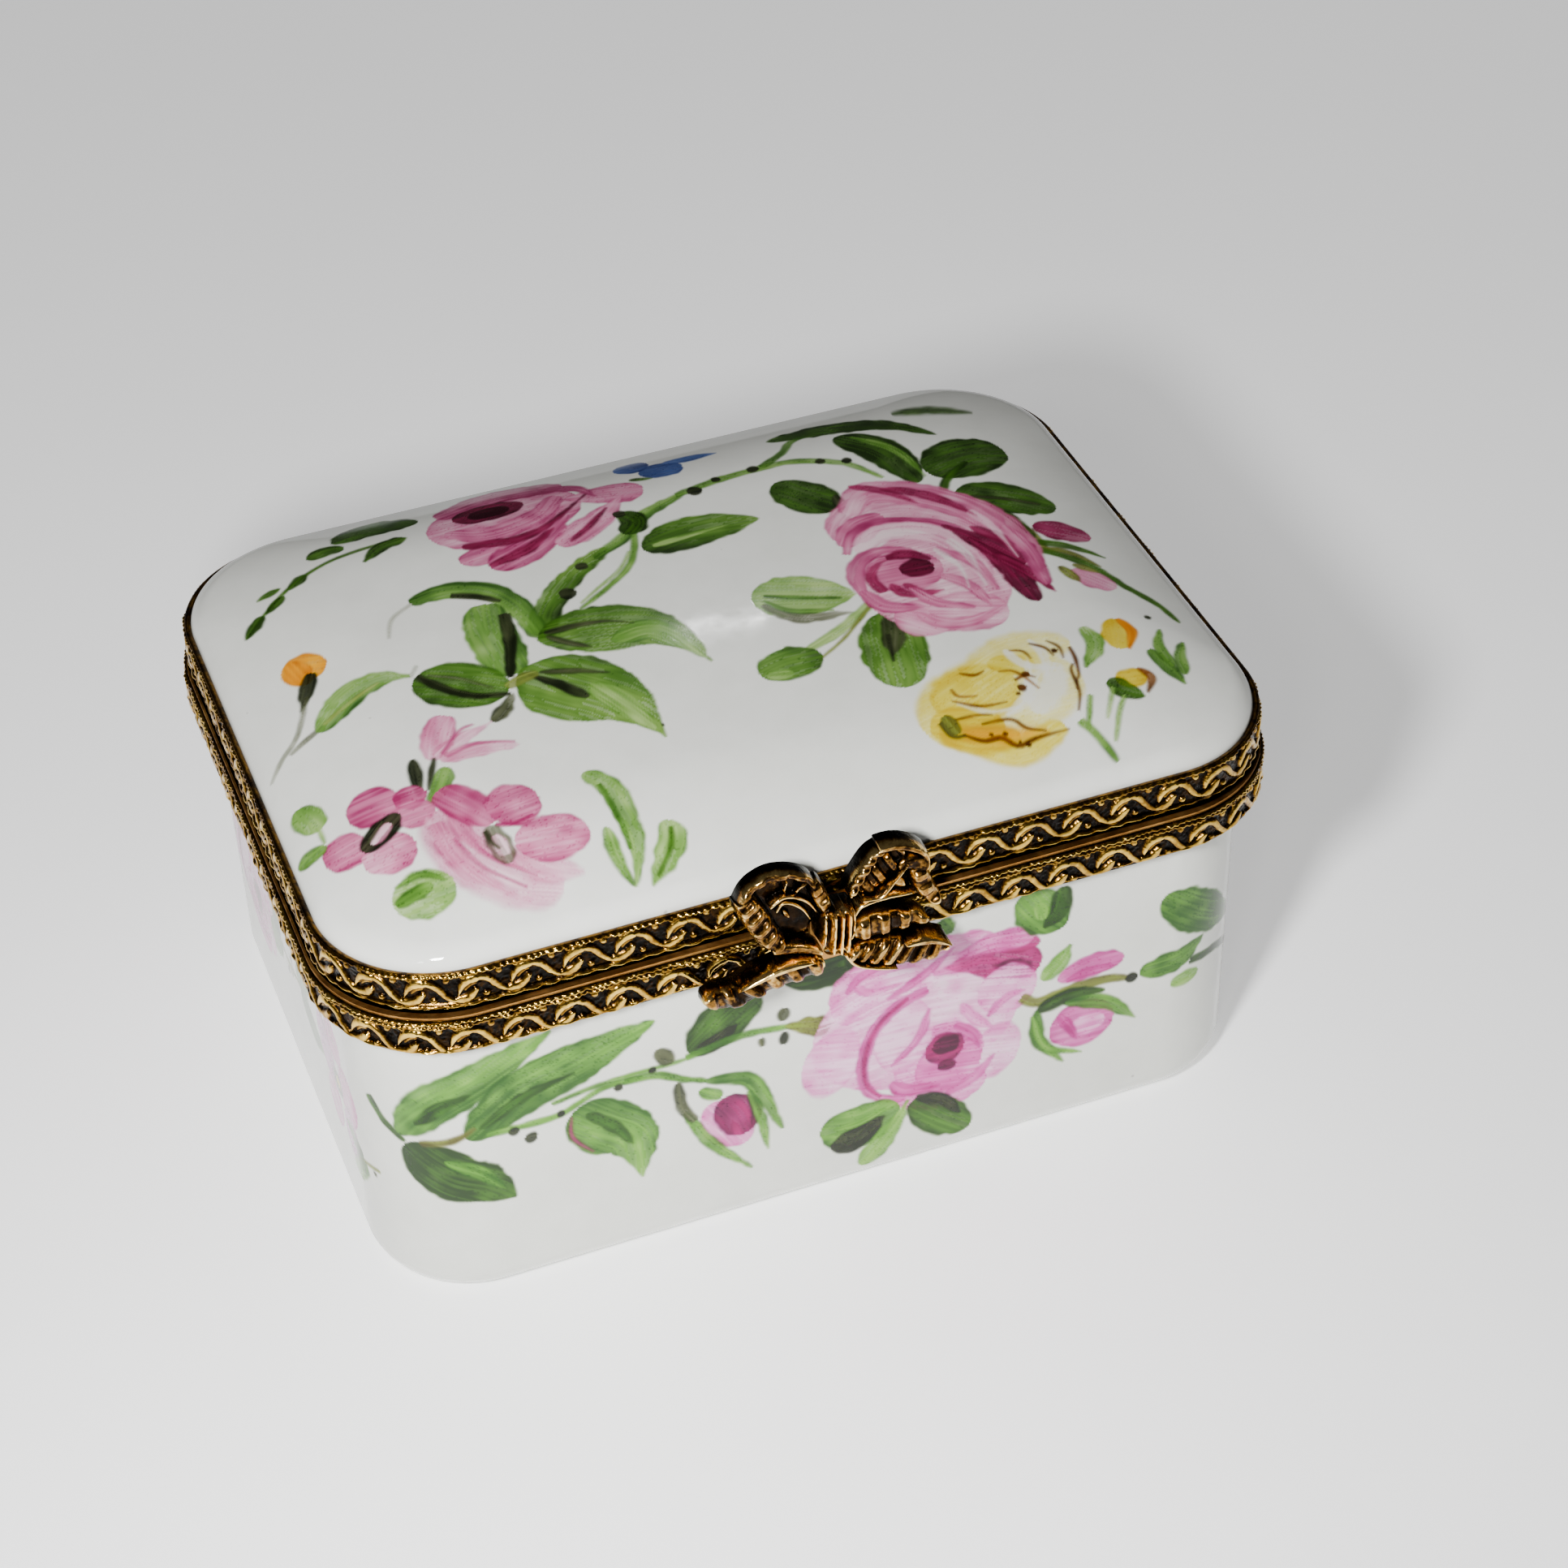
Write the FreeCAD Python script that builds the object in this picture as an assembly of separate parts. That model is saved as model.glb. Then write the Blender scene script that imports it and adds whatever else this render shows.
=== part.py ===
import FreeCAD, Part
import math
import os

# Porcelain trinket box with two embossed gilt-brass collars, a back hinge and a bow clasp.
# Millimetres. +Z is up, -Y is the front with the bow, z = 0 is the plane the foot rests on.

# Plan outline: everything is an inset of this rounded rectangle.
LENGTH = 60.0
DEPTH = 44.6
CORNER = 8.3

# Porcelain base
WALL_INSET = 1.56
WALL_INNER_INSET = 3.96
BASE_CORNER = 6.75
BASE_RIM_Z = 23.6
FLOOR_Z = 3.6
BOTTOM_ROUND = 2.0
CAVITY_ROUND = 2.2
FOOT_RING_INSET = 5.2
FOOT_RECESS = 0.7

# Base collar and rim plate
BASE_BAND_BOTTOM = 21.7
BASE_BAND_TOP = 24.1
BAND_THICK = 0.7
BASE_LIP = 0.35
BASE_PLATE_INSET = 0.3
BASE_PLATE_TOP = 24.3
BEAD_HEIGHT = 0.35
RELIEF_DEPTH = 0.25

# Lid collar and rim plate
LID_INSET = 0.38
LID_BAND_BOTTOM = 24.65
LID_BAND_TOP = 27.2
LID_LIP_Z = 26.7
LID_BAND_INNER = 0.9
LID_PLATE_INSET = 0.65
LID_PLATE_BOTTOM = 24.5
LID_PLATE_TOP = 25.1

# Embossed ribs of the running wave
RIB_COUNT = 64
RIB_LENGTH = 1.9
RIB_WIDTH = 0.55
RIB_PROUD = 0.2
RIB_ROOT = 0.15
RIB_TILT = 38.0

# Porcelain lid
DOME_INSET = 0.98
LID_RIM_INSET = 1.5
EDGE_RISE = 0.8
EDGE_WIDTH = 1.0
PILLOW_RISE = 1.9
PILLOW_WIDTH = 9.5
CROWN_RISE = 0.5
CROWN_SPAN = 21.32
DOME_STEPS = [0.0, 0.05, 0.2, 0.45, 0.75, 1.0, 1.8, 2.8, 4.0, 5.2, 6.6, 8.0, 9.5, 12.0, 15.0, 18.0]
LID_THICK = 2.2
CEILING_ROUND = 2.4

# Hinge
PIN_RADIUS = 0.5
RUNNING_CLEARANCE = 0.05
KNUCKLE_RADIUS = 1.1
KNUCKLE_LENGTH = 3.0
KNUCKLE_GAP = 0.2
STRIP_BACK_Y = 22.6
HINGE_CLEARANCE = 0.25
STRIP_HALF_LENGTH = 8.2
HINGE_Y = STRIP_BACK_Y + HINGE_CLEARANCE + KNUCKLE_RADIUS
HINGE_Z = 24.4
HEEL_ANGLE = 220.0
HEEL_REACH = 1.45
HEEL_THICK = 0.6

# Clasp
TONGUE_BACK_Y = -22.75
TONGUE_THICK = 0.3
TONGUE_BOTTOM_Z = 22.0
TONGUE_TOP_Z = 25.9
TONGUE_CENTRE_X = -1.1
TONGUE_WIDTH = 3.0
PAD_BOTTOM_Z = 24.8
PEG_Z = 22.9
PEG_RADIUS = 0.5
PEG_PROUD = 0.2
CATCH_HOLE_RADIUS = 0.75
BOW_BACK_Y = -23.05
LOOP_THICK = 2.0
LOOP_FLOOR = 0.5
TAIL_THICK = 1.6
KNOT_REACH = 2.2
KNOT_X = -1.1
KNOT_HALF_WIDE = 1.35
KNOT_BOTTOM_Z = 23.4
KNOT_TALL = 2.8


def rounded_wire(inset, corner, z):
    """Rounded-rectangle wire, inset from the plan outline, at height z."""
    half_x = LENGTH / 2 - inset
    half_y = DEPTH / 2 - inset
    r = min(corner, half_x - 0.01, half_y - 0.01)
    diagonal = r * math.sqrt(0.5)
    edges = []
    corners = [(1, -1), (1, 1), (-1, 1), (-1, -1)]
    points = []
    for sign_x, sign_y in corners:
        centre_x = sign_x * (half_x - r)
        centre_y = sign_y * (half_y - r)
        on_x = FreeCAD.Vector(centre_x, centre_y + sign_y * r, z)
        on_y = FreeCAD.Vector(centre_x + sign_x * r, centre_y, z)
        middle = FreeCAD.Vector(centre_x + sign_x * diagonal, centre_y + sign_y * diagonal, z)
        if sign_x * sign_y < 0:
            points.append((on_x, middle, on_y))
        else:
            points.append((on_y, middle, on_x))
    for index, (start, middle, end) in enumerate(points):
        following = points[(index + 1) % len(points)][0]
        edges.append(Part.Arc(start, middle, end).toShape())
        edges.append(Part.makeLine(end, following))
    return Part.Wire(edges)


def rounded_block(inset, corner, low, high):
    """Solid rounded-rectangle block between two heights."""
    face = Part.Face(rounded_wire(inset, corner, low))
    return face.extrude(FreeCAD.Vector(0, 0, high - low))


def ring(outer_inset, inner_inset, low, high):
    """Rectangular ring that follows the plan outline."""
    outer = rounded_block(outer_inset, CORNER - outer_inset, low, high)
    inner = rounded_block(inner_inset, CORNER - inner_inset, low - 1.0, high + 1.0)
    return outer.cut(inner)


def box(x0, x1, y0, y1, z0, z1):
    """Box from its low and high corners."""
    return Part.makeBox(x1 - x0, y1 - y0, z1 - z0, FreeCAD.Vector(x0, y0, z0))


def outline_point(distance, inset):
    """Point and outward direction at a distance round the plan outline."""
    half_x = LENGTH / 2 - inset
    half_y = DEPTH / 2 - inset
    r = CORNER - inset
    flat_x = 2 * (half_x - r)
    flat_y = 2 * (half_y - r)
    turn = math.pi * r / 2
    stretches = [
        ("flat", flat_x, -90.0), ("turn", turn, -90.0), ("flat", flat_y, 0.0), ("turn", turn, 0.0),
        ("flat", flat_x, 90.0), ("turn", turn, 90.0), ("flat", flat_y, 180.0), ("turn", turn, 180.0),
    ]
    start = {-90.0: (-half_x + r, -half_y), 0.0: (half_x, -half_y + r),
             90.0: (half_x - r, half_y), 180.0: (-half_x, half_y - r)}
    centre = {-90.0: (half_x - r, -half_y + r), 0.0: (half_x - r, half_y - r),
              90.0: (-half_x + r, half_y - r), 180.0: (-half_x + r, -half_y + r)}
    total = 2 * flat_x + 2 * flat_y + 4 * turn
    left = distance * total
    for kind, length, facing in stretches:
        if left > length:
            left -= length
            continue
        if kind == "flat":
            along = math.radians(facing + 90.0)
            x = start[facing][0] + math.cos(along) * left
            y = start[facing][1] + math.sin(along) * left
            return x, y, facing
        angle = facing + math.degrees(left / r)
        x = centre[facing][0] + r * math.cos(math.radians(angle))
        y = centre[facing][1] + r * math.sin(math.radians(angle))
        return x, y, angle
    return -half_x + r, -half_y, -90.0


def with_ribs(band, surface_inset, centre_z):
    """Fuse the slanted ribs of the embossed wave onto a collar."""
    ribs = []
    for index in range(RIB_COUNT):
        x, y, facing = outline_point((index + 0.5) / RIB_COUNT, surface_inset)
        rib = Part.makeBox(
            RIB_PROUD + RIB_ROOT, RIB_LENGTH, RIB_WIDTH,
            FreeCAD.Vector(-RIB_ROOT, -RIB_LENGTH / 2, -RIB_WIDTH / 2),
        )
        rib.rotate(FreeCAD.Vector(0, 0, 0), FreeCAD.Vector(1, 0, 0), RIB_TILT)
        rib.rotate(FreeCAD.Vector(0, 0, 0), FreeCAD.Vector(0, 0, 1), facing)
        rib.translate(FreeCAD.Vector(x, y, centre_z))
        ribs.append(rib)
    return band.multiFuse(ribs)


def dome_height(step):
    """Rise of the lid's outer surface at a distance in from its edge."""
    edge = EDGE_RISE * math.sqrt(1.0 - (1.0 - min(step / EDGE_WIDTH, 1.0)) ** 2)
    pillow = PILLOW_RISE * (1.0 - (1.0 - min(step / PILLOW_WIDTH, 1.0)) ** 2)
    crown = CROWN_RISE * (1.0 - (1.0 - step / CROWN_SPAN) ** 2)
    return edge + pillow + crown


def dome(edge_inset, corner, base_z):
    """Pillow-shaped solid whose contours are rounded rectangles."""
    wires = [rounded_wire(edge_inset + step, corner, base_z + dome_height(step)) for step in DOME_STEPS]
    return Part.makeLoft(wires, True, True)


def edges_at(shape, z):
    """Edges that lie wholly in the plane at height z."""
    found = []
    for edge in shape.Edges:
        bounds = edge.BoundBox
        if abs(bounds.ZMin - z) < 1e-6 and abs(bounds.ZMax - z) < 1e-6:
            found.append(edge)
    return found


def make_porcelain_base():
    """Cup with rounded lower edge, recessed foot and rounded cavity."""
    outside = rounded_block(WALL_INSET, BASE_CORNER, 0.0, BASE_RIM_Z)
    outside = outside.makeFillet(BOTTOM_ROUND, edges_at(outside, 0.0))
    cavity_corner = BASE_CORNER - (WALL_INNER_INSET - WALL_INSET)
    cavity = rounded_block(WALL_INNER_INSET, cavity_corner, FLOOR_Z, BASE_RIM_Z + 1.0)
    cavity = cavity.makeFillet(CAVITY_ROUND, edges_at(cavity, FLOOR_Z))
    foot = rounded_block(FOOT_RING_INSET, BASE_CORNER - 3.0, -1.0, FOOT_RECESS)
    return outside.cut(cavity).cut(foot)


def make_base_cement():
    """Plaster that beds the base collar on the porcelain."""
    low = BASE_BAND_BOTTOM + BASE_LIP
    outer = rounded_block(BAND_THICK, CORNER - BAND_THICK, low, BASE_RIM_Z)
    inner = rounded_block(WALL_INSET, BASE_CORNER, low - 1.0, BASE_RIM_Z + 1.0)
    return outer.cut(inner)


def make_base_band():
    """Embossed base collar: two beads, a sunk field with ribs and an inturned lower lip."""
    outer = rounded_block(0.0, CORNER, BASE_BAND_BOTTOM, BASE_BAND_TOP)
    hollow = rounded_block(BAND_THICK, CORNER - BAND_THICK, BASE_BAND_BOTTOM + BASE_LIP, BASE_RIM_Z)
    mouth = rounded_block(BASE_PLATE_INSET, CORNER - BASE_PLATE_INSET, BASE_RIM_Z, BASE_BAND_TOP + 1.0)
    opening = rounded_block(WALL_INSET, BASE_CORNER, BASE_BAND_BOTTOM - 1.0, BASE_BAND_TOP)
    band = outer.cut(hollow).cut(mouth).cut(opening)
    field_low = BASE_BAND_BOTTOM + BEAD_HEIGHT
    field_high = BASE_BAND_TOP - BEAD_HEIGHT - 0.2
    field = ring(-1.0, RELIEF_DEPTH, field_low, field_high)
    band = band.cut(field)
    return with_ribs(band, RELIEF_DEPTH, (field_low + field_high) / 2)


def make_base_rim_plate():
    """Flat ring that covers the porcelain rim of the base."""
    outer = rounded_block(BASE_PLATE_INSET, CORNER - BASE_PLATE_INSET, BASE_RIM_Z, BASE_PLATE_TOP)
    inner_corner = BASE_CORNER - (WALL_INNER_INSET - WALL_INSET)
    inner = rounded_block(WALL_INNER_INSET, inner_corner, BASE_RIM_Z - 1.0, BASE_PLATE_TOP + 1.0)
    return outer.cut(inner)


def make_lid_band():
    """Embossed lid collar with a rounded upper lip turned in against the porcelain."""
    outer = rounded_block(LID_INSET, CORNER - LID_INSET, LID_BAND_BOTTOM, LID_BAND_TOP)
    outer = outer.makeFillet(0.3, edges_at(outer, LID_BAND_TOP))
    hollow = rounded_block(LID_BAND_INNER, CORNER - LID_BAND_INNER, LID_PLATE_TOP, LID_LIP_Z)
    plate_seat = rounded_block(LID_PLATE_INSET, CORNER - LID_PLATE_INSET, LID_BAND_BOTTOM - 1.0, LID_PLATE_TOP)
    opening = rounded_block(DOME_INSET, CORNER - DOME_INSET, LID_BAND_BOTTOM, LID_BAND_TOP + 1.0)
    band = outer.cut(hollow).cut(plate_seat).cut(opening)
    field_low = LID_BAND_BOTTOM + BEAD_HEIGHT
    field_high = LID_LIP_Z - 0.25
    field = ring(-1.0, LID_INSET + RELIEF_DEPTH, field_low, field_high)
    band = band.cut(field)
    band = with_ribs(band, LID_INSET + RELIEF_DEPTH, (field_low + field_high) / 2)
    return band.cut(plate_seat)


def make_lid_rim_plate():
    """Flat ring that covers the porcelain rim of the lid."""
    return ring(LID_PLATE_INSET, WALL_INNER_INSET, LID_PLATE_BOTTOM, LID_PLATE_TOP)


def make_lid_cement():
    """Plaster that beds the lid collar on the porcelain."""
    return ring(LID_BAND_INNER, LID_RIM_INSET, LID_PLATE_TOP, LID_LIP_Z)


def make_porcelain_lid():
    """Domed lid: rim inside the collar, pillow top and a hollow underside."""
    rim = rounded_block(LID_RIM_INSET, CORNER - LID_RIM_INSET, LID_PLATE_TOP, LID_BAND_TOP)
    step = rounded_block(DOME_INSET, CORNER - DOME_INSET, LID_LIP_Z, LID_BAND_TOP)
    top = dome(DOME_INSET, CORNER - DOME_INSET, LID_BAND_TOP)
    solid = rim.fuse(step).fuse(top)
    inner_corner = CORNER - WALL_INNER_INSET
    ceiling_z = LID_BAND_TOP + EDGE_RISE + PILLOW_RISE + CROWN_RISE - LID_THICK
    hollow = rounded_block(WALL_INNER_INSET, inner_corner, LID_PLATE_TOP - 1.0, ceiling_z)
    hollow = hollow.makeFillet(CEILING_ROUND, edges_at(hollow, ceiling_z))
    return solid.cut(hollow)


def make_hinge_strip(front_y, low, high):
    """Brass strip soldered flat on the back of a collar."""
    return box(-STRIP_HALF_LENGTH, STRIP_HALF_LENGTH, front_y, STRIP_BACK_Y, low, high)


def knuckle_start(position):
    """Low X end of the knuckle at a position 0 to 4 along the pin."""
    pitch = KNUCKLE_LENGTH + KNUCKLE_GAP
    return (position - 2) * pitch - KNUCKLE_LENGTH / 2


def make_knuckle(position, side, bore):
    """Hinge tube with the web that joins it to its strip; side is -1 for base, 1 for lid."""
    x0 = knuckle_start(position)
    centre = FreeCAD.Vector(x0, HINGE_Y, HINGE_Z)
    along = FreeCAD.Vector(1, 0, 0)
    tube = Part.makeCylinder(KNUCKLE_RADIUS, KNUCKLE_LENGTH, centre, along)
    near = HINGE_Z + side * 0.2
    far = HINGE_Z + side * KNUCKLE_RADIUS
    web = box(x0, x0 + KNUCKLE_LENGTH, STRIP_BACK_Y, HINGE_Y, min(near, far), max(near, far))
    body = tube.fuse(web)
    if side > 0:
        heel = box(x0, x0 + KNUCKLE_LENGTH, 0.0, HEEL_REACH, -HEEL_THICK / 2, HEEL_THICK / 2)
        heel.rotate(FreeCAD.Vector(0, 0, 0), along, 180.0 - HEEL_ANGLE)
        heel.translate(FreeCAD.Vector(0, HINGE_Y, HINGE_Z))
        body = body.fuse(heel)
    hole_start = FreeCAD.Vector(x0 - 1.0, HINGE_Y, HINGE_Z)
    return body.cut(Part.makeCylinder(bore, KNUCKLE_LENGTH + 2.0, hole_start, along))


def make_hinge_pin():
    """Brass wire through all five knuckles."""
    x0 = knuckle_start(0)
    x1 = knuckle_start(4) + KNUCKLE_LENGTH
    start = FreeCAD.Vector(x0, HINGE_Y, HINGE_Z)
    return Part.makeCylinder(PIN_RADIUS, x1 - x0, start, FreeCAD.Vector(1, 0, 0))


def make_catch_peg(band):
    """Small domed peg on the front of the base collar."""
    seat_y = -DEPTH / 2 + RELIEF_DEPTH
    start = FreeCAD.Vector(TONGUE_CENTRE_X, seat_y, PEG_Z)
    reach = PEG_PROUD + RELIEF_DEPTH
    peg = Part.makeCylinder(PEG_RADIUS, reach, start, FreeCAD.Vector(0, -1, 0))
    tip = []
    for edge in peg.Edges:
        if abs(edge.BoundBox.YMin - (seat_y - reach)) < 1e-6 and edge.BoundBox.YLength < 1e-6:
            tip.append(edge)
    return peg.makeFillet(0.15, tip).cut(band)


def make_clasp_tongue(bow):
    """Springy tab: a pad soldered to the lid collar and a blade with the catch hole."""
    half = TONGUE_WIDTH / 2
    x0 = TONGUE_CENTRE_X - half
    x1 = TONGUE_CENTRE_X + half
    front_y = TONGUE_BACK_Y - TONGUE_THICK
    blade = box(x0, x1, front_y, TONGUE_BACK_Y, TONGUE_BOTTOM_Z, TONGUE_TOP_Z)
    pad = box(x0, x1, TONGUE_BACK_Y, -DEPTH / 2 + LID_INSET, PAD_BOTTOM_Z, TONGUE_TOP_Z)
    hole_start = FreeCAD.Vector(TONGUE_CENTRE_X, TONGUE_BACK_Y + 1.0, PEG_Z)
    hole = Part.makeCylinder(CATCH_HOLE_RADIUS, 3.0, hole_start, FreeCAD.Vector(0, -1, 0))
    return blade.fuse(pad).cut(hole).cut(bow)


def plate(points, depth):
    """Flat plate from (x, z) points, from the bow's back plane forwards."""
    corners = [FreeCAD.Vector(x, BOW_BACK_Y, z) for x, z in points]
    face = Part.Face(Part.makePolygon(corners + [corners[0]]))
    return face.extrude(FreeCAD.Vector(0, -depth, 0))


def loop(centre_x, centre_z, half_wide, half_tall, strip, tilt):
    """Ribbon loop: an elliptical bowl standing on the bow's back plane, with a thin floor."""
    origin = FreeCAD.Vector(0, 0, 0)
    toward = FreeCAD.Vector(0, -1, 0)
    rings = []
    for shrink in (0.0, strip):
        ellipse = Part.Ellipse(origin, max(half_wide, half_tall) - shrink, min(half_wide, half_tall) - shrink)
        face = Part.Face(Part.Wire(ellipse.toShape()))
        solid = face.extrude(FreeCAD.Vector(0, 0, LOOP_THICK))
        solid.rotate(origin, FreeCAD.Vector(1, 0, 0), 90)
        rings.append(solid)
    rings[1].translate(toward * LOOP_FLOOR)
    body = rings[0].cut(rings[1])
    body.rotate(origin, toward, tilt)
    body.translate(FreeCAD.Vector(centre_x, BOW_BACK_Y, centre_z))
    return body


def make_clasp_bow():
    """One casting: two loops, the knot and two ribbon tails."""
    left_loop = loop(-4.8, 27.9, 3.2, 2.6, 1.2, -60.0)
    right_loop = loop(2.2, 27.3, 3.6, 2.4, 1.3, -55.0)
    knot = Part.makeCylinder(KNOT_REACH, KNOT_TALL, FreeCAD.Vector(KNOT_X, BOW_BACK_Y, KNOT_BOTTOM_Z))
    front_half = box(KNOT_X - KNOT_HALF_WIDE, KNOT_X + KNOT_HALF_WIDE, BOW_BACK_Y - KNOT_REACH, BOW_BACK_Y,
                     KNOT_BOTTOM_Z, KNOT_BOTTOM_Z + KNOT_TALL)
    knot = knot.common(front_half)
    left_link = plate([(-1.6, 24.0), (-1.6, 26.0), (-3.9, 26.6), (-4.6, 25.4)], TAIL_THICK)
    right_link = plate([(-0.6, 23.9), (2.6, 23.7), (3.6, 24.9), (2.4, 25.9), (-0.6, 25.9)], TAIL_THICK)
    left_tail = plate([(-1.2, 24.1), (-4.6, 24.1), (-9.5, 22.9), (-9.4, 22.3), (-8.1, 21.1), (-5.4, 21.6),
                       (-1.2, 22.6)], TAIL_THICK)
    right_tail = plate([(-1.4, 23.7), (2.2, 23.5), (5.7, 22.5), (4.9, 21.6), (5.1, 20.5), (2.2, 20.9),
                        (-0.6, 22.2)], TAIL_THICK)
    return knot.multiFuse([left_loop, right_loop, left_link, right_link, left_tail, right_tail])


def write(node, shape):
    """Write one node's solid as a STEP file."""
    shape.removeSplitter().exportStep("parts/" + node + ".step")


os.makedirs("parts", exist_ok=True)

bow_shape = make_clasp_bow()
base_band_shape = make_base_band()
base_strip_low = BASE_BAND_BOTTOM + 0.2
base_strip_high = BASE_BAND_TOP - 0.2

write("porcelain_base", make_porcelain_base())
write("base_cement", make_base_cement())
write("base_band", base_band_shape)
write("base_rim_plate", make_base_rim_plate())
write("catch_peg", make_catch_peg(base_band_shape))
write("base_hinge_strip", make_hinge_strip(DEPTH / 2, base_strip_low, base_strip_high))
write("base_knuckle_left", make_knuckle(0, -1, PIN_RADIUS))
write("base_knuckle_middle", make_knuckle(2, -1, PIN_RADIUS))
write("base_knuckle_right", make_knuckle(4, -1, PIN_RADIUS))
write("hinge_pin", make_hinge_pin())
write("porcelain_lid", make_porcelain_lid())
write("lid_cement", make_lid_cement())
write("lid_band", make_lid_band())
write("lid_rim_plate", make_lid_rim_plate())
write("lid_hinge_strip", make_hinge_strip(DEPTH / 2 - LID_INSET, 24.9, 26.5))
write("lid_knuckle_left", make_knuckle(1, 1, PIN_RADIUS + RUNNING_CLEARANCE))
write("lid_knuckle_right", make_knuckle(3, 1, PIN_RADIUS + RUNNING_CLEARANCE))
write("clasp_tongue", make_clasp_tongue(bow_shape))
write("clasp_bow", bow_shape)
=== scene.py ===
"""Porcelain trinket box: hand-painted porcelain, embossed gilt collars and a cast bow clasp.

Lengths in the tables and functions are millimetres in the row frame: +Z up, -Y the front.
"""

import math

import bpy
import numpy as np
from mathutils import Matrix, Vector


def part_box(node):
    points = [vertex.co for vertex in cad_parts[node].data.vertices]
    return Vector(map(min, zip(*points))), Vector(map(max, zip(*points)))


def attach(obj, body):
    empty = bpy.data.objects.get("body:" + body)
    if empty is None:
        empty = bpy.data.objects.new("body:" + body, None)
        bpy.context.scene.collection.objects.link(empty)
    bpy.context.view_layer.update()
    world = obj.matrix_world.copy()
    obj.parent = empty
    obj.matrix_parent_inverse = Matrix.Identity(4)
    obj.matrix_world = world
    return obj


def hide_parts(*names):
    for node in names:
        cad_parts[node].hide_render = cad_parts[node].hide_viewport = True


MM = 0.001

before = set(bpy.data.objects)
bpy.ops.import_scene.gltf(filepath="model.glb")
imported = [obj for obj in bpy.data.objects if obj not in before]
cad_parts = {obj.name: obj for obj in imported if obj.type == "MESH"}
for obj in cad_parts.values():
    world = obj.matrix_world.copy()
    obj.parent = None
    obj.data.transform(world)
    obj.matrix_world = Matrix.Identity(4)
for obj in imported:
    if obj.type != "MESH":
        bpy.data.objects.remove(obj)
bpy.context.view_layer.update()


def box_mm(node):
    """Lowest and highest corner of a CAD node, in millimetres."""
    low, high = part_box(node)
    return np.array(low) / MM, np.array(high) / MM


# ---------------------------------------------------------------- driving dimensions

WALL_HIGH = box_mm("porcelain_base")[1]
COLLAR_HIGH = box_mm("base_band")[1]
DOME_HIGH = box_mm("porcelain_lid")[1]
BOW_LOW, BOW_HIGH = box_mm("clasp_bow")

# Each outline is (half length, half depth, corner radius).
COLLAR_OUTLINE = (COLLAR_HIGH[0], COLLAR_HIGH[1], 8.3)
WALL_OUTLINE = (28.44, 20.74, 6.75)
DOME_OUTLINE = (DOME_HIGH[0], DOME_HIGH[1], 7.32)

# Dome: a steep edge, a pillow slope and a nearly flat crown
DOME_BASE = 27.2
EDGE_RISE, EDGE_WIDTH = 0.8, 1.0
PILLOW_RISE, PILLOW_WIDTH = 1.9, 9.5
CROWN_RISE, CROWN_SPAN = 0.5, 21.32

# Underside of the lid: the recess that the collar fills, the flat rim and the hollow
RECESS_INSET, RECESS_Z = 0.52, 26.7
RIM_Z, HOLLOW_INSET = 25.1, 2.98
CEILING_Z, CEILING_ROUND = 28.2, 2.4

# Porcelain base: cavity, rounded lower edge, foot ring and the softened edges of the glaze
WALL_THICKNESS, CAVITY_FLOOR, CAVITY_ROUND, CAVITY_MIDDLE = 2.4, 3.6, 2.2, 12.0
LOWER_ROUND, FOOT_INSET, FOOT_RECESS = 2.0, 3.64, 0.7
GLAZED_EDGE = 0.08

# Embossed collars
RELIEF = 0.32
BASE_COLLAR_Z, LID_COLLAR_Z = (21.7, 24.1), (24.65, 27.2)
LID_COLLAR_INSET = 0.38
BASE_WAVES, LID_WAVES = 64, 63
BASE_WAVE_START, LID_WAVE_START = 0.62, 1.53
BASE_FIELD_Z, LID_FIELD_Z = 22.62, 26.05

# Spacing of the vertices, and the rows that crowd towards the dome's edge
PAINT_STEP = 0.1
DENSE_EDGE, DENSE_ROWS = 1.2, 22
COLLAR_STEP = 0.06
COLLAR_ROWS = 56
BOW_STEP = 0.045


# ---------------------------------------------------------------- small maths

NOISE_TABLE = np.random.default_rng(11).random((256, 256))


def smoothstep(value):
    """0 below 0, 1 above 1 and a smooth ramp between."""
    t = np.clip(value, 0.0, 1.0)
    return t * t * (3 - 2 * t)


def noise(x, y):
    """Smooth value noise from 0 to 1, one lattice cell per unit."""
    column, row = np.floor(x).astype(int), np.floor(y).astype(int)
    fx, fy = smoothstep(x - column), smoothstep(y - row)
    near, far = column % 256, (column + 1) % 256
    low, high = row % 256, (row + 1) % 256
    bottom = NOISE_TABLE[near, low] * (1 - fx) + NOISE_TABLE[far, low] * fx
    top = NOISE_TABLE[near, high] * (1 - fx) + NOISE_TABLE[far, high] * fx
    return bottom * (1 - fy) + top * fy


def smooth_line(points, count=26):
    """Catmull-Rom curve through the points, sampled evenly, and its length."""
    p = np.array(points, float)
    ends = np.vstack([2 * p[0] - p[1], p, 2 * p[-1] - p[-2]])
    parts = []
    for k in range(len(p) - 1):
        a, b, c, d = ends[k:k + 4]
        t = np.linspace(0, 1, 16, endpoint=False)[:, None]
        parts.append(0.5 * (2 * b + (c - a) * t + (2 * a - 5 * b + 4 * c - d) * t ** 2
                            + (3 * b - a - 3 * c + d) * t ** 3))
    curve = np.vstack(parts + [p[-1:]])
    reach = np.r_[0, np.cumsum(np.hypot(*np.diff(curve, axis=0).T))]
    even = np.linspace(0, reach[-1], count)
    line = np.stack([np.interp(even, reach, curve[:, 0]), np.interp(even, reach, curve[:, 1])], 1)
    return line, reach[-1]


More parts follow.
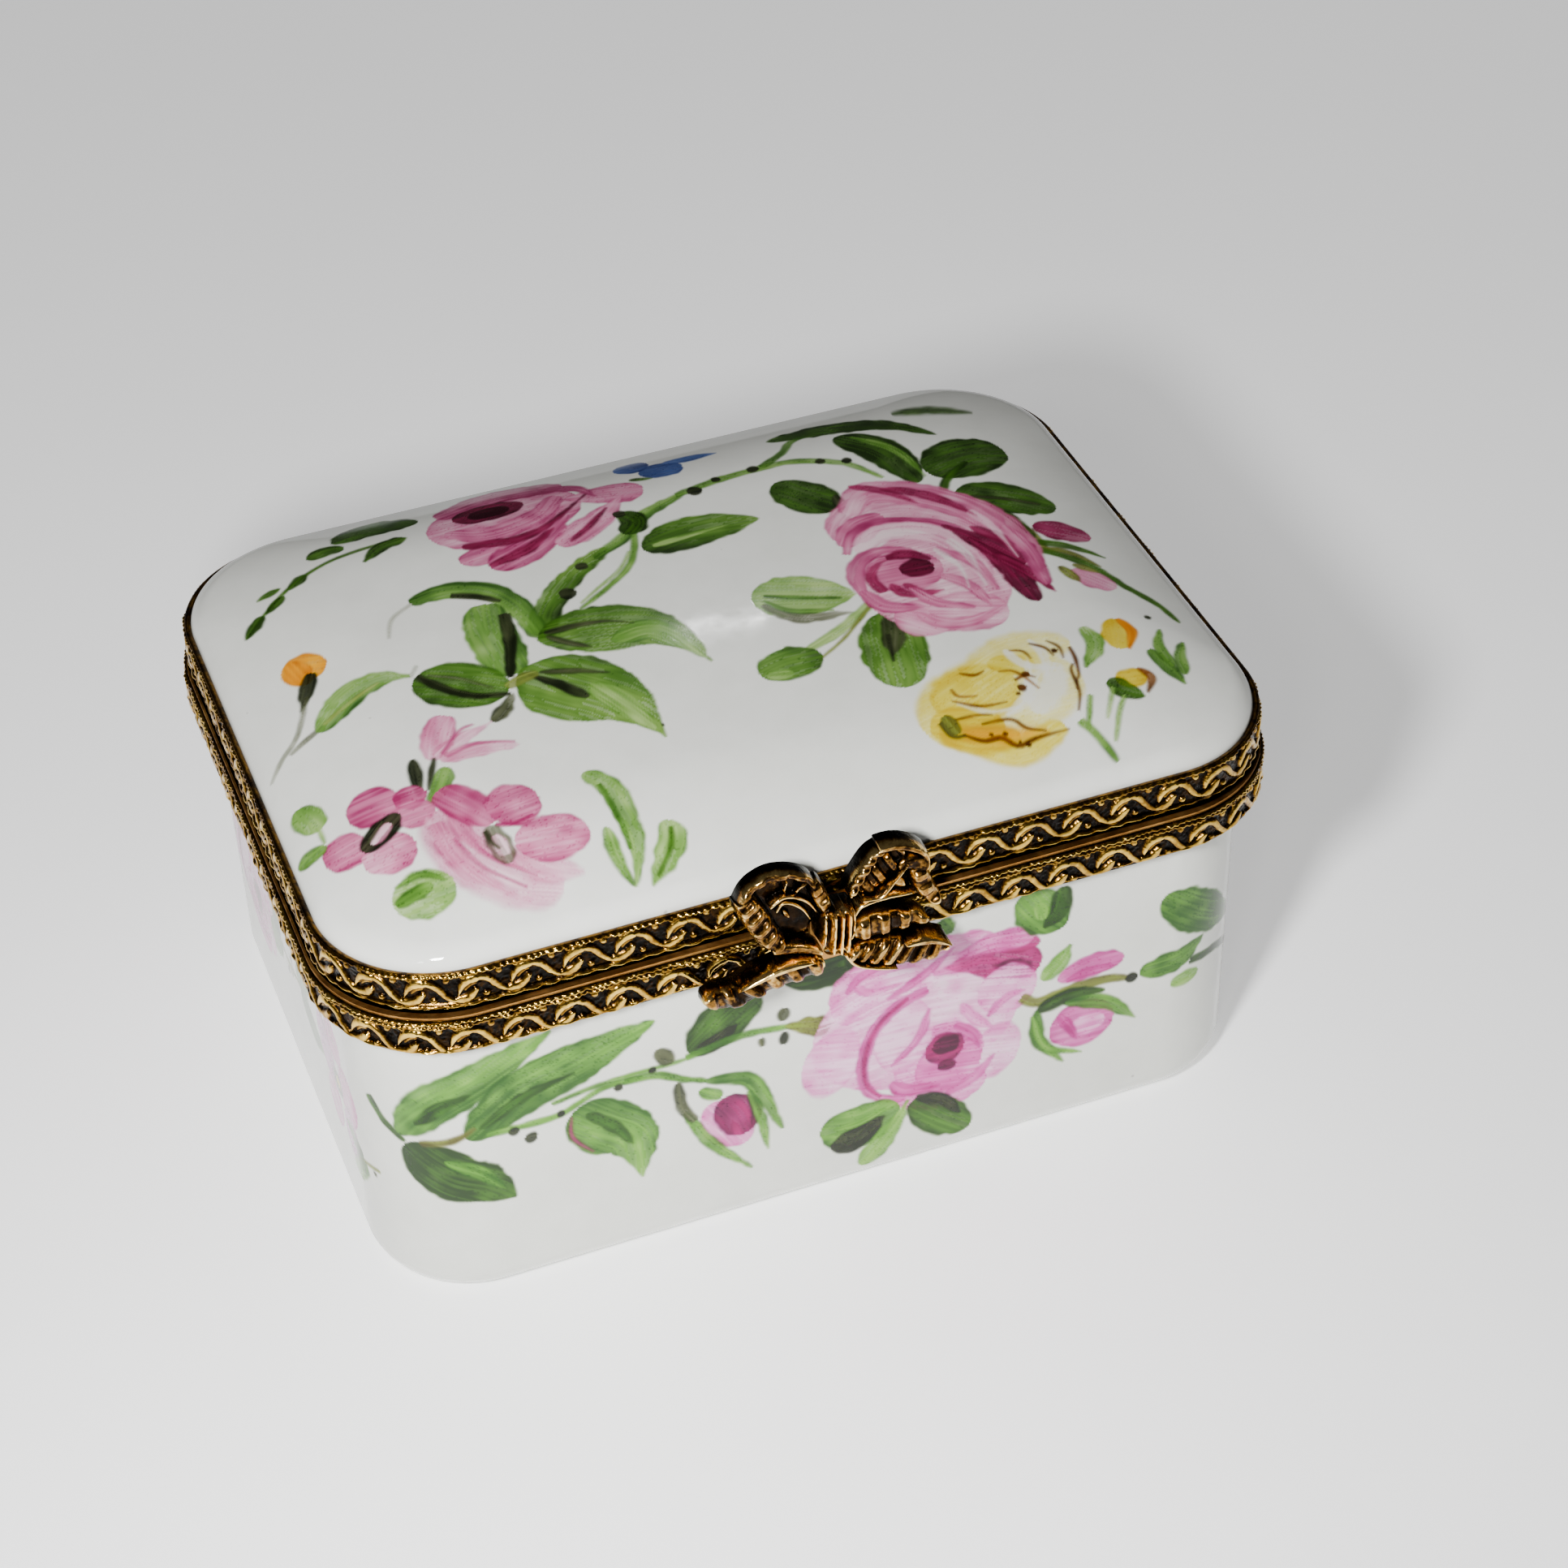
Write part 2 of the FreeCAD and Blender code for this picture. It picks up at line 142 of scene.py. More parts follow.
def trace(line, u, v):
    """Distance from each point to a sampled line, place along it from 0 to 1, and signed distance."""
    best = np.full(u.shape, 1e9)
    along = np.zeros(u.shape)
    across = np.zeros(u.shape)
    for k in range(len(line) - 1):
        step = line[k + 1] - line[k]
        size = step @ step
        du, dv = u - line[k][0], v - line[k][1]
        t = np.clip((du * step[0] + dv * step[1]) / size, 0, 1)
        distance = np.hypot(du - t * step[0], dv - t * step[1])
        closer = distance < best
        best = np.where(closer, distance, best)
        along = np.where(closer, (k + t) / (len(line) - 1), along)
        across = np.where(closer, np.sign(step[0] * dv - step[1] * du) * distance, across)
    return best, along, across


# Width of a stroke along its length: t^lead * (1 - t)^trail, scaled to 1 at its widest.
LEAF, LINE, OVAL, BAND = (0.55, 0.85), (0.1, 0.25), (0.5, 0.5), (0.3, 0.3)
DROP, TAIL, HOOKED = (1.0, 0.45), (0.3, 1.5), (0.75, 1.6)


def stroke_width(shape, along):
    """Share of the full width at a place along a stroke."""
    lead, trail = shape
    peak = lead / (lead + trail)
    inside = np.clip(along, 0, 1)
    return inside ** lead * (1 - inside) ** trail / (peak ** lead * (1 - peak) ** trail)


# ---------------------------------------------------------------- outlines and meshes

def outline_places(outline, spacing):
    """Places round an outline as (stretch, share of it), from the front centre towards +X."""
    half_x, half_y, corner = outline
    flat_x, flat_y, turn = half_x - corner, 2 * (half_y - corner), math.pi * corner / 2
    lengths = [flat_x, turn, flat_y, turn, 2 * flat_x, turn, flat_y, turn, flat_x]
    places = []
    for stretch, length in enumerate(lengths):
        count = max(2, round(length / spacing))
        places += [(stretch, k / count) for k in range(count)]
    return np.array(places), lengths


def outline_ring(outline, spacing):
    """Points, outward normals and distance from the front centre, round a rounded rectangle."""
    half_x, half_y, corner = outline
    flat_x, flat_y = half_x - corner, half_y - corner
    places, lengths = outline_places(outline, spacing)
    starts = np.r_[0, np.cumsum(lengths)]
    centres = [(flat_x, -flat_y), (flat_x, flat_y), (-flat_x, flat_y), (-flat_x, -flat_y)]
    flats = {0: ((0, -half_y), (1, 0)), 2: ((half_x, -flat_y), (0, 1)), 4: ((flat_x, half_y), (-1, 0)),
             6: ((-half_x, flat_y), (0, -1)), 8: ((-flat_x, -half_y), (1, 0))}
    points, normals, distance = [], [], []
    for stretch, share in places:
        stretch = int(stretch)
        distance.append(starts[stretch] + share * lengths[stretch])
        if stretch in flats:
            start, way = np.array(flats[stretch][0], float), np.array(flats[stretch][1], float)
            points.append(start + way * share * lengths[stretch])
            normals.append((way[1], -way[0]))
            continue
        quarter = (stretch - 1) // 2
        angle = math.radians(90 * (quarter - 1) + 90 * share)
        facing = (math.cos(angle), math.sin(angle))
        points.append((centres[quarter][0] + corner * facing[0], centres[quarter][1] + corner * facing[1]))
        normals.append(facing)
    return np.array(points), np.array(normals), np.array(distance), starts[-1]


def ring_rows(points, normals, profile):
    """Vertices of one ring per (inset, z) pair; an inset may be one number or one per point."""
    rows = []
    for inset, z in profile:
        place = points - normals * np.reshape(inset, (-1, 1))
        rows.append(np.column_stack([place, np.broadcast_to(z, len(place))]))
    return np.stack(rows)


def grid_faces(rows, columns, wrap_rows=False):
    """Four-sided faces of a grid of rings; the last ring meets the first where the rows wrap."""
    r = np.arange(rows if wrap_rows else rows - 1)[:, None]
    c = np.arange(columns)[None, :]
    below, beside = (r + 1) % rows, (c + 1) % columns
    corners = [r * columns + c, below * columns + c, below * columns + beside, r * columns + beside]
    return np.stack([np.broadcast_to(k, (r.size, c.size)).ravel() for k in corners], 1)


def arc(inset, z, radius, start, end, steps):
    """(inset, z) points of a round edge; angles in degrees, 0 towards larger inset, 90 upwards."""
    angles = np.radians(np.linspace(start, end, steps))
    return [(inset + radius * math.cos(a), z + radius * math.sin(a)) for a in angles]


def build(name, vertices, faces, body, stands_for, sharp, caps=()):
    """Mesh object that rides on a body and stands for a CAD node; sharp is the angle of a crisp edge."""
    mesh = bpy.data.meshes.new(name)
    mesh.from_pydata(vertices * MM, [], faces.tolist() + [list(map(int, cap)) for cap in caps])
    mesh.shade_smooth()
    if sharp is not None:
        mesh.set_sharp_from_angle(angle=math.radians(sharp))
    mesh.update()
    piece = bpy.data.objects.new(name, mesh)
    bpy.context.scene.collection.objects.link(piece)
    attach(piece, body)
    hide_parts(stands_for)
    return piece


def paint_attribute(piece, name, values):
    """Store one number, or one linear colour, for each vertex."""
    kind = "FLOAT_COLOR" if values.ndim == 2 else "FLOAT"
    attribute = piece.data.attributes.new(name, kind, "POINT")
    if values.ndim == 2:
        padded = np.column_stack([values, np.ones(len(values))])
        attribute.data.foreach_set("color", padded.astype(np.float32).ravel())
    else:
        attribute.data.foreach_set("value", values.astype(np.float32))


# ---------------------------------------------------------------- china painting

# Each pigment runs from a thin wash to full strength, in sRGB 0-255.
PORCELAIN = (216, 217, 212)
GREEN = ((150, 176, 106), (82, 124, 44), (26, 58, 10))
MOSS = ((100, 136, 54), (50, 88, 18), (12, 30, 0))
OLIVE = ((160, 172, 104), (106, 118, 46), (54, 50, 20))
SHADE = ((134, 136, 118), (58, 62, 40), (12, 16, 6))
PINK = ((224, 188, 200), (186, 102, 138), (128, 30, 74))
MAROON = ((170, 66, 108), (110, 18, 54), (36, 0, 12))
MAUVE = ((226, 192, 214), (190, 104, 158), (132, 32, 96))
PLUM = ((178, 68, 132), (116, 18, 74), (44, 0, 28))
LILAC = ((218, 184, 208), (182, 124, 170), (128, 62, 112))
YELLOW = ((222, 216, 142), (204, 186, 52), (180, 146, 4))
ORANGE = ((232, 180, 40), (214, 136, 0), (168, 84, 0))
BROWN = ((160, 104, 44), (96, 50, 12), (40, 18, 4))
GLAZE = (PORCELAIN, PORCELAIN, PORCELAIN)
BLUE = ((140, 152, 190), (66, 90, 150), (28, 44, 100))

# How the brush leaves the paint: sizes in millimetres, and how much each adds to a stroke's strength
EDGE_SOFTNESS, RAGGED_SIZE, POOL_SIZE, SPECK_SIZE = 0.14, 0.55, 0.9, 0.1
HAIR_LENGTH, HAIR_WIDTH = 2.4, 0.13
HAIR_SHARE, POOL_SHARE, RIM_SHARE, SPECK_SHARE = 0.4, 0.3, 0.26, 0.2
NEXT_STROKE = 37.7
WALL_RICHNESS = 1.3


def linear(colour):
    """sRGB 0-255 to linear 0-1."""
    c = np.array(colour, float) / 255
    return np.where(c <= 0.04045, c / 12.92, ((c + 0.055) / 1.055) ** 2.4)


def pigment_colour(pigment, strength):
    """Colour of a pigment laid on with a strength from 0 to 1."""
    thin, middle, full = (np.array(step, float) for step in pigment)
    lower = np.clip(strength * 2, 0, 1)[:, None]
    upper = np.clip(strength * 2 - 1, 0, 1)[:, None]
    return (thin + (middle - thin) * lower) + (full - middle) * upper


class Canvas:
    """Painted coordinates of a surface, with the colour and the thickness of the enamel on it."""

    def __init__(self, u, v):
        self.u, self.v = u.ravel(), v.ravel()
        self.colour = np.tile(np.array(PORCELAIN, float), (self.u.size, 1))
        self.enamel = np.zeros(self.u.size)
        self.strokes = 0

    def stroke(self, pigment, shape, width, points, levels, side, alpha, soft):
        """One brush stroke: levels are its strength at start and end, side makes its left edge darker."""
        self.strokes += 1
        line, length = smooth_line(points)
        reach = width + 0.5
        (low_u, low_v), (high_u, high_v) = line.min(0) - reach, line.max(0) + reach
        near = np.flatnonzero((self.u > low_u) & (self.u < high_u) & (self.v > low_v) & (self.v < high_v))
        if near.size == 0:
            return
        u, v = self.u[near], self.v[near]
        distance, along, across = trace(line, u, v)
        half = width * stroke_width(shape, along)
        shift = NEXT_STROKE * self.strokes
        ragged = (noise(u / RAGGED_SIZE + shift, v / RAGGED_SIZE) - 0.5) * min(0.3 * width, 0.22)
        softness = EDGE_SOFTNESS * soft
        cover = smoothstep((half + ragged - distance) / softness * 0.5 + 0.5) * (half > 0.02)
        hairs = noise(along * length / HAIR_LENGTH + shift, across / HAIR_WIDTH + shift)
        pools = noise(u / POOL_SIZE + shift, v / POOL_SIZE)
        rim = np.clip(distance / np.maximum(half, 0.05), 0, 1) ** 5
        share = np.clip(across / max(width, 0.05), -1, 1)
        specks = noise(u / SPECK_SIZE + shift, v / SPECK_SIZE) > 0.9
        strength = levels[0] + (levels[1] - levels[0]) * along + side * share
        strength += HAIR_SHARE * (hairs - 0.5) + POOL_SHARE * (pools - 0.5)
        strength += RIM_SHARE * rim + SPECK_SHARE * specks
        strength = np.clip(strength, 0, 1)
        load = (cover * alpha * (1 - 0.35 * (1 - strength) * (hairs > 0.62)))[:, None]
        self.colour[near] = self.colour[near] * (1 - load) + pigment_colour(pigment, strength) * load
        self.enamel[near] = np.maximum(self.enamel[near], load[:, 0] * (0.5 + 0.5 * strength))

    def enrich(self, share):
        """Deepen every colour against its own grey; the bare porcelain hardly changes."""
        grey = self.colour.mean(1, keepdims=True)
        self.colour = np.clip(grey + share * (self.colour - grey), 0, 255)

    def motif(self, strokes, at=(0, 0), scale=1.0, turn=0.0, flip=False, deepen=0.0):
        """Paint a list of strokes, moved, turned, scaled and laid on more strongly."""
        cos, sin = math.cos(math.radians(turn)), math.sin(math.radians(turn))
        for pigment, shape, width, points, settings in strokes:
            moved = []
            for x, y in points:
                x = -x if flip else x
                moved.append((at[0] + scale * (x * cos - y * sin), at[1] + scale * (x * sin + y * cos)))
            options = dict(settings)
            options["levels"] = tuple(min(level + deepen, 1.0) for level in options["levels"])
            if flip:
                options["side"] = -options["side"]
            self.stroke(pigment, shape, width * scale, moved, **options)


def tone(start, end=None, side=0.0, alpha=0.93, soft=1.0):
    """Options of one stroke in the tables."""
    levels = (start, start if end is None else end)
    return {"levels": levels, "side": side, "alpha": alpha, "soft": soft}


def dots(pigment, places):
    """Small round dabs: (x, y, radius) each."""
    return [(pigment, OVAL, r, [(x - r, y), (x + r, y)], tone(0.8)) for x, y, r in places]


LID_BACK_SPRIG = [
    (MOSS, OVAL, 1.15, [(-19.1, 17.3), (-16.2, 18.1), (-13.3, 17.6)], tone(0.6, 0.75)),
    (MOSS, OVAL, 0.62, [(-21.0, 16.1), (-19.8, 16.4), (-18.5, 16.2)], tone(0.6)),
    (MOSS, LINE, 0.16, [(-14.8, 15.6), (-19, 15.2), (-21.5, 14.3), (-23.5, 12.9), (-26.4, 10.2)], tone(0.5)),
    (MOSS, LEAF, 0.6, [(-14.6, 15.5), (-16.5, 15.0), (-17.9, 13.7)], tone(0.7)),
    (MOSS, LEAF, 0.42, [(-21.5, 14.4), (-22.9, 13.2)], tone(0.7)),
    (MOSS, LEAF, 0.34, [(-23.3, 12.8), (-24.8, 11.6)], tone(0.7)),
    (MOSS, LEAF, 0.48, [(-25.0, 11.6), (-26.5, 10.1)], tone(0.75)),
    (MOSS, LEAF, 0.3, [(-23.3, 13.8), (-25.0, 13.3)], tone(0.6)),
]

LID_BACK_ROSE = [
    (PINK, OVAL, 3.5, [(-13.4, 14.6), (-3.2, 15.5)], tone(0.35, 0.45)),
    (PINK, BAND, 1.2, [(-12.2, 17.3), (-8, 18.6), (-3.6, 17.8)], tone(0.7)),
    (PINK, DROP, 1.4, [(-4.4, 15.6), (-1.8, 15.0), (0.8, 14.3)], tone(0.45, 0.5)),
    (PINK, DROP, 1.1, [(-5.2, 14.0), (-9, 11.8), (-12.4, 10.9)], tone(0.45, 0.55)),
    (PINK, DROP, 1.3, [(-4.5, 13.6), (-7.0, 11.3), (-10.8, 9.6)], tone(0.55, 0.75)),
    (PINK, DROP, 1.1, [(-0.6, 14.4), (-2.6, 12.4), (-6.2, 10.3)], tone(0.35, 0.5)),
    (PINK, BAND, 0.9, [(-12.4, 14.6), (-9.8, 13.4), (-6.4, 14.2), (-4.4, 16.4)], tone(0.5, 0.6)),
    (MAROON, TAIL, 0.42, [(-11.8, 12.6), (-8, 12.1), (-5, 13.6), (-1.6, 16.6)], tone(0.55)),
    (MAROON, LEAF, 0.42, [(-10.8, 9.9), (-8, 10.8), (-5.8, 12.4)], tone(0.5)),
    (MAROON, LEAF, 0.26, [(-5.4, 10.4), (-3.5, 11.8), (-2.0, 13.3)], tone(0.45)),
    (MAROON, OVAL, 1.25, [(-11.4, 16.2), (-6.6, 16.5)], tone(0.7, 0.6)),
    (MAROON, OVAL, 0.75, [(-10.4, 16.2), (-7.6, 16.3)], tone(1.0)),
    (PINK, LEAF, 0.5, [(-5.2, 18.0), (-3.0, 16.8), (-2.2, 14.9)], tone(0.75)),
    (BLUE, OVAL, 1.2, [(1.3, 16.7), (4.2, 16.4)], tone(0.7)),
    (BLUE, OVAL, 0.9, [(0.0, 18.0), (2.4, 18.1)], tone(0.75)),
    (BLUE, LEAF, 0.5, [(3.2, 17.5), (6.9, 17.2)], tone(0.6)),
    (MOSS, LEAF, 0.25, [(0.4, 16.1), (1.9, 15.6)], tone(0.6)),
]

LID_STEM = [
    (MOSS, (0.0, 0.25), 1.0, [(-9.9, 2.3), (-8.9, 4.2), (-7.2, 6.2), (-5.4, 7.7), (-3.5, 8.8)],
     tone(0.6, 0.3, side=-0.3)),
    (GREEN, BAND, 0.5, [(-4.6, 8.1), (-1.8, 9.8), (-0.5, 11.2), (1.2, 12), (3, 12.8)],
     tone(0.6, 0.5, side=-0.3)),
    (GREEN, LINE, 0.34, [(2.4, 12.7), (5.5, 13.3), (8, 13.5), (10.5, 13.4), (12.7, 12.4), (14, 11.3),
                         (15.3, 9.2)], tone(0.5, 0.35)),
    (GREEN, LINE, 0.3, [(8.6, 13.6), (10.5, 14.8), (11.5, 16), (12.7, 16.5)], tone(0.6)),
    (GREEN, LINE, 0.24, [(-1.4, 10.0), (-1.9, 8.3), (-3, 6.3), (-5, 4.7), (-7.1, 3.4)], tone(0.5)),
    (GREEN, LINE, 0.12, [(-2.3, 8.0), (-3.6, 6.3), (-5.4, 5.0), (-6.9, 3.9)], tone(0.2)),
    (MOSS, OVAL, 0.95, [(-1.6, 12.2), (-1.0, 10.9), (-2.0, 9.8)], tone(0.75)),
    (MOSS, LEAF, 1.7, [(-1.5, 7.8), (2, 8.4), (6.4, 8.1)], tone(0.85, 0.2, side=-0.2)),
    (GREEN, TAIL, 0.3, [(-0.8, 7.9), (2.2, 8.1), (5.6, 8.3)], tone(0.2)),
] + dots(SHADE, [(-7.3, 5.2, 0.55), (-5.6, 7.6, 0.42), (-1.6, 12.1, 0.4), (3.7, 12.7, 0.5), (5.4, 13.4, 0.32),
                 (8.0, 13.6, 0.42), (12.3, 12.6, 0.34), (13.9, 12.0, 0.34)])

LID_CLUSTER = [
    (GREEN, BAND, 0.9, [(-16.5, 8.2), (-14.3, 8.5), (-12, 7.6), (-10.7, 5.5), (-10.1, 1.8)],
     tone(0.75, 0.5, side=0.3)),
    (SHADE, LINE, 0.3, [(-14.0, 7.9), (-12.6, 7.2), (-11.3, 6.1)], tone(0.7)),
    (SHADE, LINE, 0.13, [(-16.4, 8.1), (-18, 7), (-18.7, 5.2)], tone(0.1, alpha=0.6)),
    (GREEN, BAND, 1.6, [(-12.4, 6.2), (-12.9, 3), (-12.7, -1.2)], tone(0.5, 0.6, side=0.15)),
    (SHADE, LINE, 0.42, [(-11.5, 4.8), (-12.1, 1.8), (-13.1, -1.4)], tone(0.7, 0.95)),
    (MOSS, HOOKED, 2.3, [(-10.5, 1.4), (-7.5, 1.2), (-4.2, 0.2), (-2.2, -2.2), (-1.4, -4.9)],
     tone(0.5, 0.05, side=0.15)),
    (GREEN, HOOKED, 1.0, [(-6.4, -0.4), (-3.6, -0.4), (-1.6, -4.4)], tone(0.45, 0.2)),
    (SHADE, TAIL, 0.3, [(-9.9, 1.9), (-8.2, 1.9), (-6, 1.6), (-4.0, 0.4)], tone(0.75, 0.5)),
    (SHADE, LEAF, 0.28, [(-9.9, 1.6), (-8.9, 0.5), (-7.6, -0.6)], tone(0.6)),
    (MOSS, HOOKED, 3.1, [(-12.4, -1.0), (-10.3, -3.4), (-8.2, -5.6), (-7.0, -7.8), (-6.4, -10.4)],
     tone(0.42, 0.05, side=0.15)),
    (GREEN, LEAF, 0.9, [(-8.9, -3.8), (-7.8, -6.2), (-6.7, -9.4)], tone(0.35, 0.15)),
    (SHADE, DROP, 0.45, [(-12.1, -1.5), (-10.6, -3.2), (-9.4, -5)], tone(0.9, 0.7)),
    (SHADE, LEAF, 0.25, [(-11.4, -1.6), (-9.2, -2.4), (-7.4, -3.3)], tone(0.5)),
    (MOSS, OVAL, 2.2, [(-18.6, 0.5), (-16.2, -0.8), (-13.6, -2.6)], tone(0.6, 0.45, side=-0.1)),
    (SHADE, LINE, 0.32, [(-18.2, 1.0), (-17.2, -0.6), (-15.6, -2.2), (-13.5, -2.9)], tone(0.8)),
    (SHADE, LINE, 0.14, [(-17.6, 0.8), (-15.9, -0.3), (-14.3, -2.0)], tone(0.5, alpha=0.7)),
    (OLIVE, BAND, 0.42, [(-13.6, -2.2), (-12.6, -1.8), (-11.4, -1.6)], tone(0.4)),
    (SHADE, DROP, 0.5, [(-13.3, -2.8), (-14.2, -4), (-15.3, -5)], tone(0.3, 0.8)),
    (SHADE, LINE, 0.1, [(-17.9, 2.0), (-18.6, 1.0)], tone(0.2, alpha=0.6)),
] + dots(SHADE, [(-6.2, -9.1, 0.1)])

LID_ORANGE_BUD = [
    (ORANGE, OVAL, 1.35, [(-25.4, 5.7), (-24.2, 5.2), (-22.8, 4.6)], tone(0.45, 0.55)),
    (ORANGE, OVAL, 0.8, [(-24.8, 6.3), (-24.2, 3.6)], tone(0.6, 0.7)),
    (SHADE, DROP, 0.55, [(-25.3, 1.4), (-24.5, 3.0), (-23.8, 4.5)], tone(0.6, 1.0)),
    (SHADE, LINE, 0.16, [(-24.6, 2.6), (-26, -0.3), (-27.4, -1.7), (-28.4, -3.0)], tone(0.4, 0.1, alpha=0.8)),
    (SHADE, LINE, 0.2, [(-24.3, -0.5), (-25.5, -1.0), (-26.8, -1.6)], tone(0.4, 0.2, alpha=0.8)),
    (GREEN, LEAF, 1.05, [(-24.9, -0.9), (-22.6, 1.0), (-20.4, 1.7), (-18.5, 1.2)],
     tone(0.45, 0.35, side=-0.2)),
    (OLIVE, LINE, 0.14, [(-24.4, -0.5), (-22.3, 0.6), (-20.4, 1.4)], tone(0.2)),
]

LID_TRUMPET = [
    (PINK, BAND, 1.0, [(-19.4, -7.0), (-18.6, -4.8), (-17.7, -3.3)], tone(0.35, 0.5)),
    (PINK, TAIL, 0.75, [(-19.2, -7.0), (-17.5, -5.8), (-15.1, -4.8)], tone(0.25, 0.2)),
    (PINK, LEAF, 0.7, [(-19.2, -7.1), (-17, -7.0), (-14.4, -7.6)], tone(0.3, 0.15)),
    (PINK, LINE, 0.14, [(-18.8, -6.9), (-16.8, -6.5), (-14.6, -7.2)], tone(0.7)),
    (PINK, LINE, 0.12, [(-18.9, -6.6), (-17.4, -5.0), (-16.4, -4.7)], tone(0.65)),
    (GREEN, LEAF, 0.7, [(-19.0, -7.8), (-19.8, -9.2), (-20.9, -10.7)], tone(0.4, 0.6)),
    (SHADE, LEAF, 0.45, [(-20.6, -6.3), (-20.9, -8), (-21.2, -9.7)], tone(0.9)),
    (SHADE, LEAF, 0.2, [(-19.4, -6.7), (-20.0, -8.0), (-20.6, -9.4)], tone(0.9)),
]

LID_PINK_FLOWERS = [
    (PINK, OVAL, 1.7, [(-25.4, -9.1), (-22.2, -9.1)], tone(0.85, 0.7)),
    (PINK, OVAL, 1.5, [(-27.5, -11.6), (-24.9, -11.4)], tone(0.75, 0.55)),
    (PINK, OVAL, 1.6, [(-25.6, -13.1), (-22.4, -12.9)], tone(0.45, 0.5)),
    (PINK, OVAL, 0.95, [(-22.7, -9.4), (-20.7, -9.3)], tone(0.8)),
    (PINK, OVAL, 1.1, [(-23.2, -10.8), (-20.6, -10.7)], tone(0.55)),
    (SHADE, OVAL, 0.85, [(-25.3, -12.2), (-22.6, -10.3)], tone(0.85)),
    (PINK, OVAL, 0.4, [(-24.7, -11.9), (-23.3, -10.8)], tone(0.1)),
    (SHADE, LINE, 0.12, [(-24.9, -11.7), (-24.2, -11.0), (-23.6, -10.4)], tone(0.7)),
    (PINK, BAND, 1.9, [(-20.8, -11.2), (-19.9, -15), (-18.2, -17.6), (-15.6, -18.8)],
     tone(0.34, 0.2, alpha=0.8, soft=3)),
    (PINK, TAIL, 0.7, [(-20.9, -12.0), (-20.6, -15.0), (-19.2, -17.8), (-17.2, -19.6)],
     tone(0.55, 0.35, alpha=0.8, soft=2)),
    (PINK, TAIL, 0.5, [(-20.0, -11.8), (-19.4, -14.4), (-17.8, -16.8), (-15.2, -18.4)],
     tone(0.6, 0.3, alpha=0.8)),
    (PINK, LEAF, 1.0, [(-17.4, -15.6), (-16.2, -17.4), (-14.2, -18.4)], tone(0.3, 0.2, alpha=0.8, soft=2)),
    (PINK, LINE, 0.1, [(-20.4, -13.6), (-19.4, -16.4), (-17.6, -18.4)], tone(0.7, alpha=0.8)),
    (PINK, LINE, 0.1, [(-19.8, -13.4), (-18.8, -15.9), (-16.8, -17.8)], tone(0.65, alpha=0.8)),
    (PINK, BAND, 1.25, [(-20.1, -9.6), (-19, -11.3), (-17.8, -13.3)], tone(0.8, 0.7)),
    (PINK, OVAL, 1.75, [(-18.0, -12.6), (-14.9, -12.2)], tone(0.6, 0.7)),
    (PINK, OVAL, 1.65, [(-17.3, -15.4), (-13.0, -15.8)], tone(0.45, 0.6)),
    (PINK, LINE, 0.16, [(-17.9, -13.6), (-16.9, -13.9), (-15.6, -13.6)], tone(0.95)),
    (SHADE, OVAL, 0.7, [(-18.3, -13.5), (-18.0, -16.6)], tone(0.35, alpha=0.8)),
    (PINK, OVAL, 0.42, [(-18.2, -14.3), (-18.0, -16.0)], tone(0.0)),
    (SHADE, LINE, 0.16, [(-18.6, -13.8), (-18.5, -14.8), (-18.2, -15.4)], tone(0.7)),
]

LID_FRONT_LEAVES = [
    (GREEN, OVAL, 0.95, [(-27.6, -6.2), (-27.0, -8.8)], tone(0.5, 0.3)),
    (GREEN, LINE, 0.14, [(-27.0, -8.4), (-27.0, -10.0)], tone(0.4)),
    (GREEN, OVAL, 0.6, [(-28.8, -10.6), (-27.0, -10.2)], tone(0.5)),
    (GREEN, OVAL, 1.7, [(-24.9, -17.0), (-21.3, -16.4)], tone(0.2, 0.3)),
    (GREEN, OVAL, 0.5, [(-24.8, -16.8), (-22.5, -16.3)], tone(0.75, 0.5)),
    (GREEN, LEAF, 0.2, [(-24.5, -15.6), (-22.8, -15.4), (-21.6, -16.4)], tone(0.6)),
    (GREEN, (0.4, 1.1), 0.8, [(-11.9, -11.4), (-10.9, -13.2), (-10.7, -16), (-11.0, -18.2), (-11.9, -20.2)],
     tone(0.35, 0.5)),
    (GREEN, LEAF, 0.45, [(-12.1, -15.9), (-12.2, -18), (-11.9, -20)], tone(0.4, 0.6)),
    (GREEN, (0.4, 0.8), 0.8, [(-8.6, -16.5), (-8.9, -18), (-10.9, -20.3)], tone(0.3, 0.45)),
    (MOSS, LINE, 0.14, [(-8.6, -17.0), (-9.1, -18.3), (-10.4, -19.8)], tone(0.6)),
    (GREEN, LINE, 0.16, [(-11.4, -12.6), (-11.2, -15.0), (-11.3, -17.8)], tone(0.7)),
]

